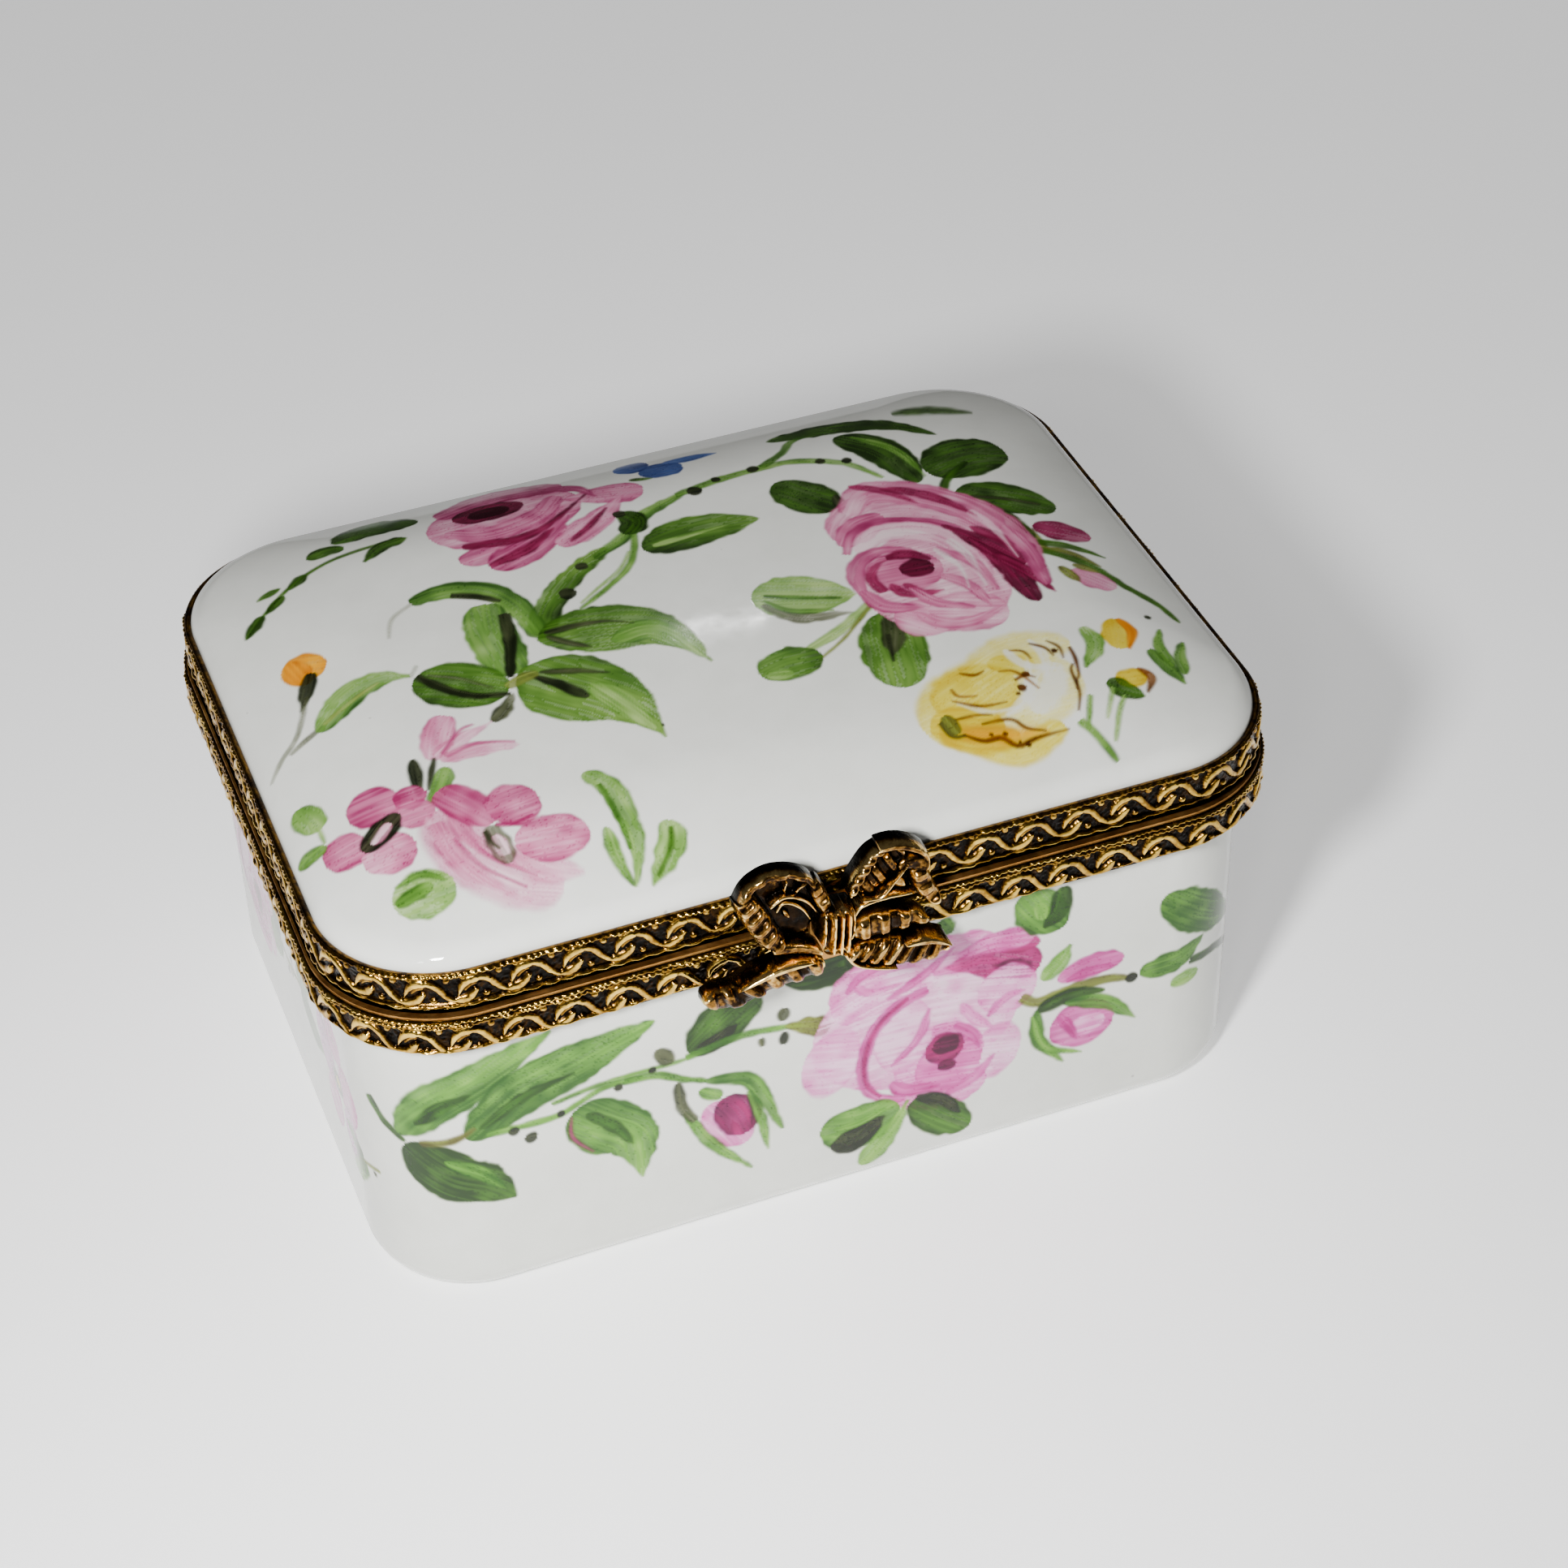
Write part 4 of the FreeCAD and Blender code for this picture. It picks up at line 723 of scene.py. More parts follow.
WALL_RIGHT_SPRAY = [
    (GREEN, OVAL, 1.6, [(11.8, 20.4), (13.0, 18.6), (14.6, 17.0)], tone(0.3, 0.6)),
    (MOSS, LEAF, 0.8, [(14.4, 20.2), (14.2, 18.4), (13.2, 17.2)], tone(0.65)),
    (GREEN, OVAL, 0.5, [(12.8, 19.4), (13.2, 17.9)], tone(0.05)),
    (GREEN, LEAF, 0.7, [(13.2, 12.9), (14.2, 13.9), (15.1, 15.3)], tone(0.1, 0.3)),
    (MAUVE, OVAL, 0.95, [(14.2, 12.6), (16.6, 13.0), (18.7, 13.0)], tone(0.35, 0.5)),
    (MAUVE, LEAF, 0.35, [(14.8, 12.3), (16.4, 12.6), (18.4, 12.4)], tone(0.6)),
    (MAUVE, OVAL, 1.9, [(13.8, 8.4), (18.2, 8.3)], tone(0.45, 0.3)),
    (MAUVE, OVAL, 0.9, [(15.2, 8.2), (17.6, 8.2)], tone(0.0)),
    (MAUVE, LEAF, 0.35, [(14.4, 9.6), (15.2, 8.2), (15.8, 7.0)], tone(0.7)),
    (OLIVE, LINE, 0.42, [(11.8, 12), (13, 11.2), (15, 11.5), (17.6, 11.5), (19.2, 11)], tone(0.4, 0.5)),
    (MOSS, LEAF, 0.65, [(12.8, 10.4), (15, 11), (17.6, 10.6)], tone(0.8, 0.6)),
    (GREEN, LEAF, 0.5, [(12.9, 10.6), (13.1, 8), (14.9, 5.4)], tone(0.75, 0.4)),
    (GREEN, LEAF, 0.3, [(12.6, 10.2), (13.6, 7.2), (16.2, 5.8)], tone(0.3)),
    (GREEN, LEAF, 0.55, [(14.8, 10.5), (17.5, 9.6), (19.8, 7.4)], tone(0.55, 0.3)),
    (GREEN, LEAF, 0.9, [(19.8, 11.2), (22.5, 11.4), (24.6, 12.4)], tone(0.55, 0.6)),
    (GREEN, LEAF, 1.6, [(21.2, 16.9), (24.2, 14.4), (27.8, 11.8)], tone(0.5, 0.75)),
    (GREEN, OVAL, 0.6, [(22.0, 9.4), (24.2, 9.6)], tone(0.1)),
    (MOSS, LINE, 0.32, [(23.4, 10.8), (26.4, 10.1), (28.8, 8.6)], tone(0.7)),
] + dots(SHADE, [(19.3, 11.0, 0.42)])

# Garland pieces for the walls that carry the same kind of painting, drawn about their own centres
SMALL_LEAVES = [
    (GREEN, LEAF, 1.3, [(0, 0), (2.4, 1.6), (5.6, 2.2)], tone(0.7, 0.3, side=-0.1)),
    (MOSS, LEAF, 1.2, [(0.4, -0.2), (2.6, -1.8), (5.2, -2.6)], tone(0.75, 0.4)),
    (OLIVE, LINE, 0.22, [(-2.6, 0.3), (0, 0), (3.0, 0.2)], tone(0.6)),
] + dots(SHADE, [(-1.4, 0.9, 0.3), (1.2, 1.4, 0.25)])

PINK_FLOWER = [
    (LILAC, OVAL, 2.0, [(-3.6, 0.8), (-0.4, 1.6)], tone(0.4, 0.6)),
    (MAUVE, OVAL, 1.9, [(0.4, 1.4), (3.6, 0.6)], tone(0.5, 0.35)),
    (MAUVE, OVAL, 1.7, [(-2.6, -1.6), (0.2, -2.4)], tone(0.3, 0.5)),
    (LILAC, OVAL, 1.7, [(0.6, -1.4), (3.2, -2.0)], tone(0.5)),
    (MAUVE, OVAL, 1.4, [(-1.6, 3.2), (1.6, 3.4)], tone(0.6, 0.4)),
    (SHADE, OVAL, 0.8, [(-0.9, 0.2), (0.9, 0.4)], tone(0.6)),
    (YELLOW, OVAL, 0.4, [(-0.4, 0.3), (0.5, 0.4)], tone(0.4)),
]


# Garlands of the end walls: motif, place (round the box from the front centre, height), size, turn
LEFT_WALL, RIGHT_WALL = -46.0, 46.0
END_GARLANDS = [
    (PINK_FLOWER, (LEFT_WALL + 10.6, 10.8), 1.15, 0),
    (SMALL_LEAVES, (LEFT_WALL + 15.2, 8.6), 0.6, 200),
    (SMALL_LEAVES, (LEFT_WALL + 1.6, 11.6), 1.0, 15),
    (SMALL_LEAVES, (LEFT_WALL - 2.4, 11.4), 1.0, 170),
    (WALL_ROSE, (LEFT_WALL - 14.5, 2.4), 0.8, 0),
    (SMALL_LEAVES, (LEFT_WALL - 16.4, 12.4), 1.0, 160),
    (PINK_FLOWER, (RIGHT_WALL - 13.2, 9.0), 0.95, 0),
    (SMALL_LEAVES, (RIGHT_WALL - 8.4, 11.2), 1.0, 12),
    (WALL_BUD, (RIGHT_WALL + 7.0, 1.8), 1.0, 0),
    (SMALL_LEAVES, (RIGHT_WALL + 4.6, 11.6), 1.0, 20),
    (SMALL_LEAVES, (RIGHT_WALL + 13.4, 10.6), 1.0, -14),
]
BACK_ROSE_AT = (-6.0, -0.6)


def paint_lid(x, y):
    """Painted lid: colour and enamel for each vertex of the dome."""
    canvas = Canvas(x, y)
    canvas.motif(LID_PAINTING)
    return canvas


def paint_walls(u, z, around):
    """Painted walls: the front as seen, and a garland of the same flowers on the other sides."""
    canvas = Canvas(np.where(u > around / 2, u - around, u), z)
    canvas.motif(WALL_LEFT_SPRAY + WALL_MIDDLE_LEAVES, deepen=0.2)
    canvas.motif(WALL_ROSE, deepen=0.04)
    canvas.motif(WALL_BUD + WALL_LOWER_LEAVES + WALL_RIGHT_SPRAY, deepen=0.2)
    for strokes, place, scale, turn in END_GARLANDS:
        canvas.motif(strokes, at=place, scale=scale, turn=turn)
    canvas.u = np.where(canvas.u < 0, canvas.u + around, canvas.u) - around / 2
    canvas.motif(WALL_LEFT_SPRAY, at=(6.2, -2.0), scale=0.85)
    canvas.motif(WALL_LEFT_SPRAY, at=(-3.4, -2.0), scale=0.85, flip=True)
    canvas.motif(WALL_ROSE, at=BACK_ROSE_AT)
    canvas.motif(WALL_LOWER_LEAVES, at=BACK_ROSE_AT)
    canvas.enrich(WALL_RICHNESS)
    return canvas


# ---------------------------------------------------------------- porcelain

def dome_step(x, y):
    """How far in from the dome's edge the contour through a point lies."""
    half_x, half_y, corner = DOME_OUTLINE
    x, y = np.abs(x), np.abs(y)
    step = np.minimum(half_x - x, half_y - y)
    a, b = x - (half_x - corner), y - (half_y - corner)
    inside = np.maximum((a + b) ** 2 - 2 * (a * a + b * b - corner ** 2), 0)
    turn = 0.5 * (np.sqrt(inside) - (a + b))
    step = np.where((a + turn > 0) & (b + turn > 0), turn, step)
    end = half_y - np.hypot(np.maximum(x - (half_x - half_y), 0), y)
    return np.maximum(np.where(step > half_y - corner, end, step), 0)


def dome_z(step):
    """Height of the dome's outside at a distance in from its edge."""
    edge = EDGE_RISE * np.sqrt(1 - (1 - np.minimum(step / EDGE_WIDTH, 1)) ** 2)
    pillow = PILLOW_RISE * (1 - (1 - np.minimum(step / PILLOW_WIDTH, 1)) ** 2)
    return DOME_BASE + edge + pillow + CROWN_RISE * (1 - (1 - step / CROWN_SPAN) ** 2)


def edge_dense(half):
    """Coordinates from -half to half, evenly spaced inside and crowded towards both ends."""
    flat = half - DENSE_EDGE
    inner = np.linspace(-flat, flat, round(2 * flat / PAINT_STEP))
    outer = flat + DENSE_EDGE * np.sin(np.linspace(0, math.pi / 2, DENSE_ROWS)[1:])
    return np.r_[-outer[::-1], inner, outer]


def lid_underside():
    """(inset, z) points below the dome: its edge, the collar's recess, the flat rim and the hollow."""
    hollow_start = CEILING_Z - CEILING_ROUND
    profile = [(0.0, RECESS_Z + 0.25), (0.0, RECESS_Z + 0.05), (0.03, RECESS_Z)]
    profile += [(RECESS_INSET - 0.02, RECESS_Z), (RECESS_INSET, RECESS_Z - 0.04)]
    profile += [(RECESS_INSET, RIM_Z + 0.04), (RECESS_INSET + 0.04, RIM_Z)]
    profile += [(HOLLOW_INSET - GLAZED_EDGE, RIM_Z), (HOLLOW_INSET, RIM_Z + GLAZED_EDGE)]
    profile += arc(HOLLOW_INSET + CEILING_ROUND, hollow_start, CEILING_ROUND, 180, 90, 10)
    return profile


def make_lid():
    """Porcelain lid: painted dome, outer rim, flat rim and hollow underside."""
    half_x, half_y, corner = DOME_OUTLINE
    ys = edge_dense(half_y)
    xs = edge_dense(half_x) / half_x
    lift = np.maximum(np.abs(ys) - (half_y - corner), 0)
    width = half_x - corner + np.sqrt(np.maximum(corner ** 2 - lift ** 2, 0))
    x = width[:, None] * xs[None, :]
    y = np.broadcast_to(ys[:, None], x.shape)
    rows, columns = x.shape
    top = np.stack([x, y, dome_z(dome_step(x, y))], 2).reshape(-1, 3)
    index = np.arange(rows * columns).reshape(rows, columns)
    dome = np.stack([index[:-1, :-1], index[:-1, 1:], index[1:, 1:], index[1:, :-1]], 2).reshape(-1, 4)
    rim = np.r_[index[0, :], index[1:, -1], index[-1, -2::-1], index[-2:0:-1, 0]]
    edge = top[rim, :2]
    flat = np.array([half_x - corner, half_y - corner])
    normals = (edge - np.clip(edge, -flat, flat)) / corner
    profile = lid_underside()
    rings = ring_rows(edge, normals, profile).reshape(-1, 3)
    first = len(top)
    ring_index = np.vstack([rim, first + np.arange(len(rings)).reshape(len(profile), -1)])
    ahead = np.roll(ring_index, -1, 1)
    skirt = np.stack([ring_index[:-1], ring_index[1:], ahead[1:], ahead[:-1]], 2).reshape(-1, 4)
    vertices = np.vstack([top, rings])
    lid = build("painted_lid", vertices, np.vstack([dome, skirt]), "lid", "porcelain_lid",
                sharp=50, caps=[ring_index[-1][::-1]])
    canvas = paint_lid(vertices[:, 0], vertices[:, 1])
    outside = np.arange(len(vertices)) < first
    finish_painting(lid, canvas, outside)
    return lid


def make_walls():
    """Porcelain base: cavity, rim, painted walls, rounded lower edge and recessed foot."""
    points, normals, distance, around = outline_ring(WALL_OUTLINE, PAINT_STEP)
    rim_z = WALL_HIGH[2]
    profile = arc(WALL_THICKNESS + CAVITY_ROUND, CAVITY_FLOOR + CAVITY_ROUND, CAVITY_ROUND, 270, 180, 8)
    profile += [(WALL_THICKNESS, CAVITY_MIDDLE), (WALL_THICKNESS, rim_z - GLAZED_EDGE)]
    profile += [(WALL_THICKNESS - GLAZED_EDGE, rim_z), (GLAZED_EDGE, rim_z), (0.0, rim_z - GLAZED_EDGE)]
    start = len(profile)
    profile += [(0.0, z) for z in np.arange(rim_z - 0.3, LOWER_ROUND, -PAINT_STEP)]
    profile += arc(LOWER_ROUND, LOWER_ROUND, LOWER_ROUND, 180, 270, 24)
    end = len(profile)
    profile += [(FOOT_INSET - GLAZED_EDGE, 0.0), (FOOT_INSET, GLAZED_EDGE)]
    profile += [(FOOT_INSET, FOOT_RECESS - GLAZED_EDGE), (FOOT_INSET + GLAZED_EDGE, FOOT_RECESS)]
    rows = ring_rows(points, normals, profile)
    count, columns = rows.shape[:2]
    first_ring, last_ring = np.arange(columns), (count - 1) * columns + np.arange(columns)[::-1]
    walls = build("painted_base", rows.reshape(-1, 3), grid_faces(count, columns), "base", "porcelain_base",
                  sharp=50, caps=[first_ring, last_ring])
    u = np.broadcast_to(distance, (count, columns)).ravel()
    z = rows[:, :, 2].ravel()
    canvas = paint_walls(u, z, around)
    row = np.repeat(np.arange(count), columns)
    finish_painting(walls, canvas, (row >= start) & (row < end))
    return walls


def finish_painting(piece, canvas, outside):
    """Store the painting on the outside and bare white glaze everywhere else."""
    colour = np.where(outside[:, None], canvas.colour, np.array(PORCELAIN, float))
    paint_attribute(piece, "painting", linear(colour))
    paint_attribute(piece, "enamel", np.where(outside, canvas.enamel, 0.0))


# ---------------------------------------------------------------- embossed collars

# Strokes of one wave, from its blade: width, height at start and end, shape, points as (along, up)
WAVE = [
    (0.36, 0.9, 1.0, (0.9, 0.25), [(-0.06, -0.4), (0.2, 0.2), (0.6, 0.56), (1.2, 0.64)]),
    (0.26, 0.85, 0.75, LINE,
     [(0.85, 0.62), (1.3, 0.6), (1.8, 0.3), (2.25, -0.32), (2.7, -0.72), (3.2, -0.82)]),
    (0.34, 0.75, 0.9, (0.2, 0.3), [(2.8, -0.76), (3.3, -0.8), (3.75, -0.62), (4.15, -0.1)]),
    (0.1, 0.6, 0.6, LINE, [(0.34, -0.1), (0.7, 0.2), (1.1, 0.3)]),
]
# Beads between the waves: place along and up, half length, half height
WAVE_BEADS = [(2.4, 0.74, 0.24, 0.24), (1.6, -0.7, 0.24, 0.22), (0.3, 0.88, 0.2, 0.12)]
BEAD_RISE = 0.75

# Roughness of the casting: stippled ground, rubbed crests and pitting, with the sizes of their grains
GROUND_GRAIN, WEAR, PITTING = 0.22, 0.1, 0.02
GROUND_SIZE, WEAR_SIZE, PIT_SIZE = 0.17, 0.5, 0.14
# Rounding of the band's upper and lower edges, and the shade of its plain back
EDGE_TURN, EDGE_INSET = 0.12, 0.18
BACK_RELIEF = 0.45


def wave_height(along, up, pitch):
    """Height from 0 to 1 of the running wave at a distance along it and above its middle."""
    height = np.zeros(along.shape)
    for width, start, end, shape, points in WAVE:
        line, _ = smooth_line(points, 20)
        for shift in (-pitch, 0.0, pitch):
            distance, place, _ = trace(line + (shift, 0.0), along, up)
            half = width * np.maximum(stroke_width(shape, place), 0.02)
            ridge = np.sqrt(np.clip(1 - (distance / half) ** 2, 0, 1)) * (start + (end - start) * place)
            height = np.maximum(height, ridge)
    for centre, level, wide, tall in WAVE_BEADS:
        for shift in (-pitch, 0.0, pitch):
            far = ((along - centre - shift) / wide) ** 2 + ((up - level) / tall) ** 2
            height = np.maximum(height, BEAD_RISE * np.sqrt(np.clip(1 - far, 0, 1)))
    return height


def milled_bead(u, z, level, radius, grain):
    """Height of a bead that runs round the collar, cut into uneven grains; about 1 on its crest."""
    round_over = np.sqrt(np.clip(1 - ((z - level) / radius) ** 2, 0, 1))
    stretch = u / grain + 0.9 * noise(u / (2.3 * grain), 3.0 * level) + 0.35 * (z - level) / radius
    cuts = 0.84 + 0.16 * np.sin(2 * math.pi * stretch)
    uneven = 0.8 + 0.7 * (noise(u / (1.7 * grain), z / 0.2) - 0.5)
    return round_over * cuts * uneven


def make_collar(name, node, body, inset, span, waves, wave_start, field_z, beads, back):
    """Closed ring with the embossed wave on its outer face; back is the rest of its section."""
    outline = tuple(size - inset for size in COLLAR_OUTLINE)
    points, normals, distance, around = outline_ring(outline, COLLAR_STEP)
    pitch = around / waves
    z_bottom, z_top = span
    z = np.linspace(z_top, z_bottom, COLLAR_ROWS)
    u_grid, z_grid = np.meshgrid(distance, z)
    local = np.mod(u_grid - wave_start, pitch)
    height = wave_height(local, z_grid - field_z, pitch)
    for level, radius, grain, size in beads:
        height = np.maximum(height, size * milled_bead(u_grid, z_grid, level, radius, grain))
    worn = noise(u_grid / WEAR_SIZE, z_grid / WEAR_SIZE) - 0.5
    fine = noise(u_grid / PIT_SIZE, z_grid / PIT_SIZE) - 0.5
    ground = GROUND_GRAIN * (1 - height) * noise(u_grid / GROUND_SIZE, z_grid / GROUND_SIZE)
    depth = RELIEF * (1 - height * (1 + WEAR * worn) - ground) - PITTING * (fine + worn)
    ends = smoothstep(np.minimum(z_top - z_grid, z_grid - z_bottom) / EDGE_TURN)
    profile = [(EDGE_INSET * (1 - ends[k]) + depth[k], z[k]) for k in range(len(z))]
    rows = ring_rows(points, normals, profile + back)
    count, columns = rows.shape[:2]
    faces = grid_faces(count, columns, wrap_rows=True)
    collar = build(name, rows.reshape(-1, 3), faces, body, node, sharp=None)
    # Colour value from the height: the ground and recesses take the dark end of the gilt colours, partly
    # patina and partly painted shade.
    relief_shade = np.full((count, columns), BACK_RELIEF)
    relief_shade[:len(z)] = np.clip(height + 0.8 * ground, 0, 1)
    paint_attribute(collar, "relief_shade", relief_shade.ravel())
    return collar


def make_base_collar():
    """Base collar: milled double bead above the wave, plain lip below."""
    back = [(0.2, 21.7), (1.5, 21.7), (1.56, 21.76), (1.56, 22.0), (1.5, 22.05), (0.7, 22.05), (0.7, 23.6),
            (0.33, 23.6), (0.3, 23.63), (0.3, 24.07), (0.2, 24.1)]
    beads = [(23.93, 0.17, 0.42, 1.1), (23.62, 0.13, 0.34, 1.0), (21.84, 0.15, 1.3, 1.0)]
    return make_collar("collar_base", "base_band", "base", 0.0, BASE_COLLAR_Z, BASE_WAVES, BASE_WAVE_START,
                       BASE_FIELD_Z, beads, back)


def make_lid_collar():
    """Lid collar: narrow bead below the wave and a granular lip turned in over the porcelain."""
    back = [(0.0, 24.65), (0.27, 24.65), (0.27, 25.1), (0.52, 25.12), (0.52, 26.7), (0.6, 26.72),
            (0.6, 27.16), (0.5, 27.22), (0.4, 27.24), (0.3, 27.25), (0.2, 27.24)]
    beads = [(24.82, 0.16, 1.1, 1.0), (27.08, 0.16, 0.4, 0.95)]
    return make_collar("collar_lid", "lid_band", "lid", LID_COLLAR_INSET, LID_COLLAR_Z, LID_WAVES,
                       LID_WAVE_START, LID_FIELD_Z, beads, back)


# ---------------------------------------------------------------- cast bow

# Ribbons of the bow, the last of them its knot: half width, lift at start and end, shape,
# cross rungs (pitch, height, slant), flutes along it (pitch, height), points as (x, z)
BOW = [
    (1.95, 0.35, 0.35, OVAL, None, None, [(-3.2, 25.0), (-4.1, 27.4), (-4.7, 29.6)]),
    (1.2, 0.35, 0.35, OVAL, None, None, [(-6.0, 28.5), (-4.4, 28.85), (-2.8, 28.3)]),
    (0.15, 1.0, 0.7, LINE, None, None,
     [(-5.3, 27.9), (-4.6, 28.3), (-3.8, 28.1), (-3.0, 27.4), (-2.4, 26.4)]),
    (0.13, 0.8, 0.9, LINE, None, None,
     [(-4.9, 27.3), (-4.5, 27.8), (-3.9, 27.6), (-3.3, 27.0), (-2.9, 26.2)]),
    (0.2, 0.7, 0.7, OVAL, None, None, [(-4.4, 27.1), (-4.1, 26.6)]),
    (0.1, 0.6, 1.1, LINE, None, None, [(-4.3, 28.3), (-4.35, 29.0), (-4.3, 29.6)]),
    (0.1, 0.6, 1.0, LINE, None, None, [(-3.7, 28.0), (-3.5, 28.6), (-3.1, 29.0)]),
    (0.34, 1.3, 1.2, LINE, (1.3, 0.12, 0.0), None,
     [(-7.1, 28.5), (-6.4, 29.6), (-5.3, 30.1), (-4.1, 29.9), (-3.1, 29.3), (-2.45, 28.3)]),
    (0.5, 1.2, 1.2, (0.2, 0.3), (1.3, 0.2, 0.3), None,
     [(-2.7, 28.9), (-2.3, 27.8), (-1.95, 26.8), (-1.7, 25.8)]),
    (0.8, 1.5, 1.4, (0.12, 0.15), (1.0, 0.3, 0.3), None,
     [(-6.85, 29.0), (-6.35, 27.8), (-5.9, 26.8), (-5.45, 25.8), (-4.8, 24.9)]),
    (0.42, 1.3, 1.2, (0.2, 0.3), None, None, [(-5.3, 24.8), (-4.2, 24.6), (-3.2, 24.2), (-2.3, 23.6)]),
    (1.5, 0.35, 0.35, OVAL, None, None, [(0.3, 27.4), (2.2, 28.4), (4.0, 27.4)]),
    (0.95, 1.0, 1.1, (0.3, 0.35), (1.0, 0.34, -0.3), None, [(0.2, 27.1), (1.4, 28.3), (2.7, 29.6)]),
    (0.12, 1.4, 1.4, LINE, None, None, [(0.1, 26.9), (1.2, 26.8), (2.0, 27.6), (2.9, 28.7)]),
    (0.38, 1.6, 1.4, (0.3, 0.3), (0.7, 0.12, 0.5), None,
     [(-0.6, 27.4), (0.1, 28.6), (0.9, 29.7), (1.7, 30.1)]),
    (0.3, 1.3, 1.3, LINE, None, None, [(1.2, 30.2), (2.3, 30.1), (3.3, 29.6), (4.0, 28.9), (4.2, 28.0)]),
    (0.42, 1.0, 1.0, OVAL, None, None, [(2.1, 27.6), (2.8, 26.9)]),
    (0.62, 1.2, 1.4, (0.25, 0.2), None, None, [(2.4, 28.5), (3.4, 28.6), (4.1, 28.0)]),
    (0.66, 1.5, 1.5, (0.15, 0.2), (1.25, 0.28, 0.0), None,
     [(3.5, 28.2), (3.8, 27.2), (4.1, 26.3), (4.7, 25.3)]),
    (0.17, 1.4, 1.3, LINE, None, None, [(-0.5, 25.8), (0.1, 26.5), (1.6, 26.6), (3.3, 26.4)]),
    (0.42, 0.35, 0.35, OVAL, None, None, [(0.0, 26.0), (3.3, 26.0)]),
    (0.95, 1.6, 1.3, (0.2, 0.6), (1.25, 0.34, 0.1), None,
     [(-0.4, 24.7), (1.4, 24.6), (3.0, 24.4), (4.3, 23.9)]),
    (1.05, 1.5, 1.2, (0.3, 0.35), (1.28, 0.36, 0.45), None,
     [(-2.2, 22.8), (-4.0, 22.8), (-5.8, 22.6), (-7.2, 22.05), (-8.3, 22.0), (-9.5, 22.3)]),
    (0.3, 1.75, 1.5, LEAF, None, None, [(-3.0, 23.6), (-4.9, 23.5), (-6.4, 23.1), (-7.6, 22.7)]),
    (1.2, 1.5, 1.2, (0.5, 0.3), (0.92, 0.36, -0.3), None,
     [(-1.0, 23.2), (0.2, 22.75), (1.5, 22.3), (3.0, 21.85), (4.3, 21.6), (5.5, 21.6)]),
    (0.3, 1.75, 1.6, LEAF, None, None, [(2.6, 22.9), (4.2, 22.6), (5.6, 21.8)]),
    (0.14, 1.6, 1.5, LINE, None, None, [(-1.1, 23.4), (-0.4, 22.3), (0.8, 21.6), (2.2, 21.1)]),
    (1.14, 1.9, 1.9, (0.12, 0.15), None, (0.46, 0.26), [(-1.32, 26.8), (-1.4, 25.4), (-1.5, 24.0)]),
]
# Rungs fill a share of their pitch; the edging runs near a ribbon's sides; panels lie between the rungs
RUNG_SHARE = 0.28
EDGING_PLACE, EDGING_WIDTH, EDGING_RISE = 0.82, 0.12, 0.35
PANEL_DROP = 0.24
# Thickness of the casting at its outline and at its thinnest, its surface grain and its plain back's shade
BOW_EDGE, BOW_FLOOR = 0.12, 0.2
BOW_GRAIN, BOW_GRAIN_SIZE = 0.03, 0.3
BOW_BACK_RELIEF = 0.3
BOW_MARGIN = 0.2
SHADE_REACH = 10


def bow_fields(x, z):
    """Signed distance to the bow's outline and its height, over its plane."""
    outline = np.full(x.shape, 1e9)
    height = np.zeros(x.shape)
    for width, start, end, shape, rungs, flutes, points in BOW:
        line, length = smooth_line(points, 30)
        distance, along, across = trace(line, x, z)
        half = width * np.maximum(stroke_width(shape, along), 0.03)
        share = np.clip(distance / half, 0, 1)
        rounded = (1 - share ** 4) ** 0.5
        lift = (start + (end - start) * along) * rounded
        if rungs:
            pitch, rise, slant = rungs
            place = (along * length + slant * across) / pitch
            off = np.abs(place - np.floor(place) - 0.5) * pitch
            edging = EDGING_RISE * np.exp(-((share - EDGING_PLACE) / EDGING_WIDTH) ** 2)
            uneven = 0.7 + 0.6 * noise(np.floor(place) * 1.7 + points[0][0], np.zeros(x.shape))
            ridge = np.maximum(uneven * np.exp(-(off / (RUNG_SHARE * pitch)) ** 4), edging)
            lift += (rise * ridge - PANEL_DROP) * rounded
        if flutes:
            lift += flutes[1] * np.cos(2 * math.pi * across / flutes[0]) * rounded
        inside = distance < half
        height = np.where(inside & (lift > height), lift, height)
        outline = np.minimum(outline, distance - half)
    return outline, height


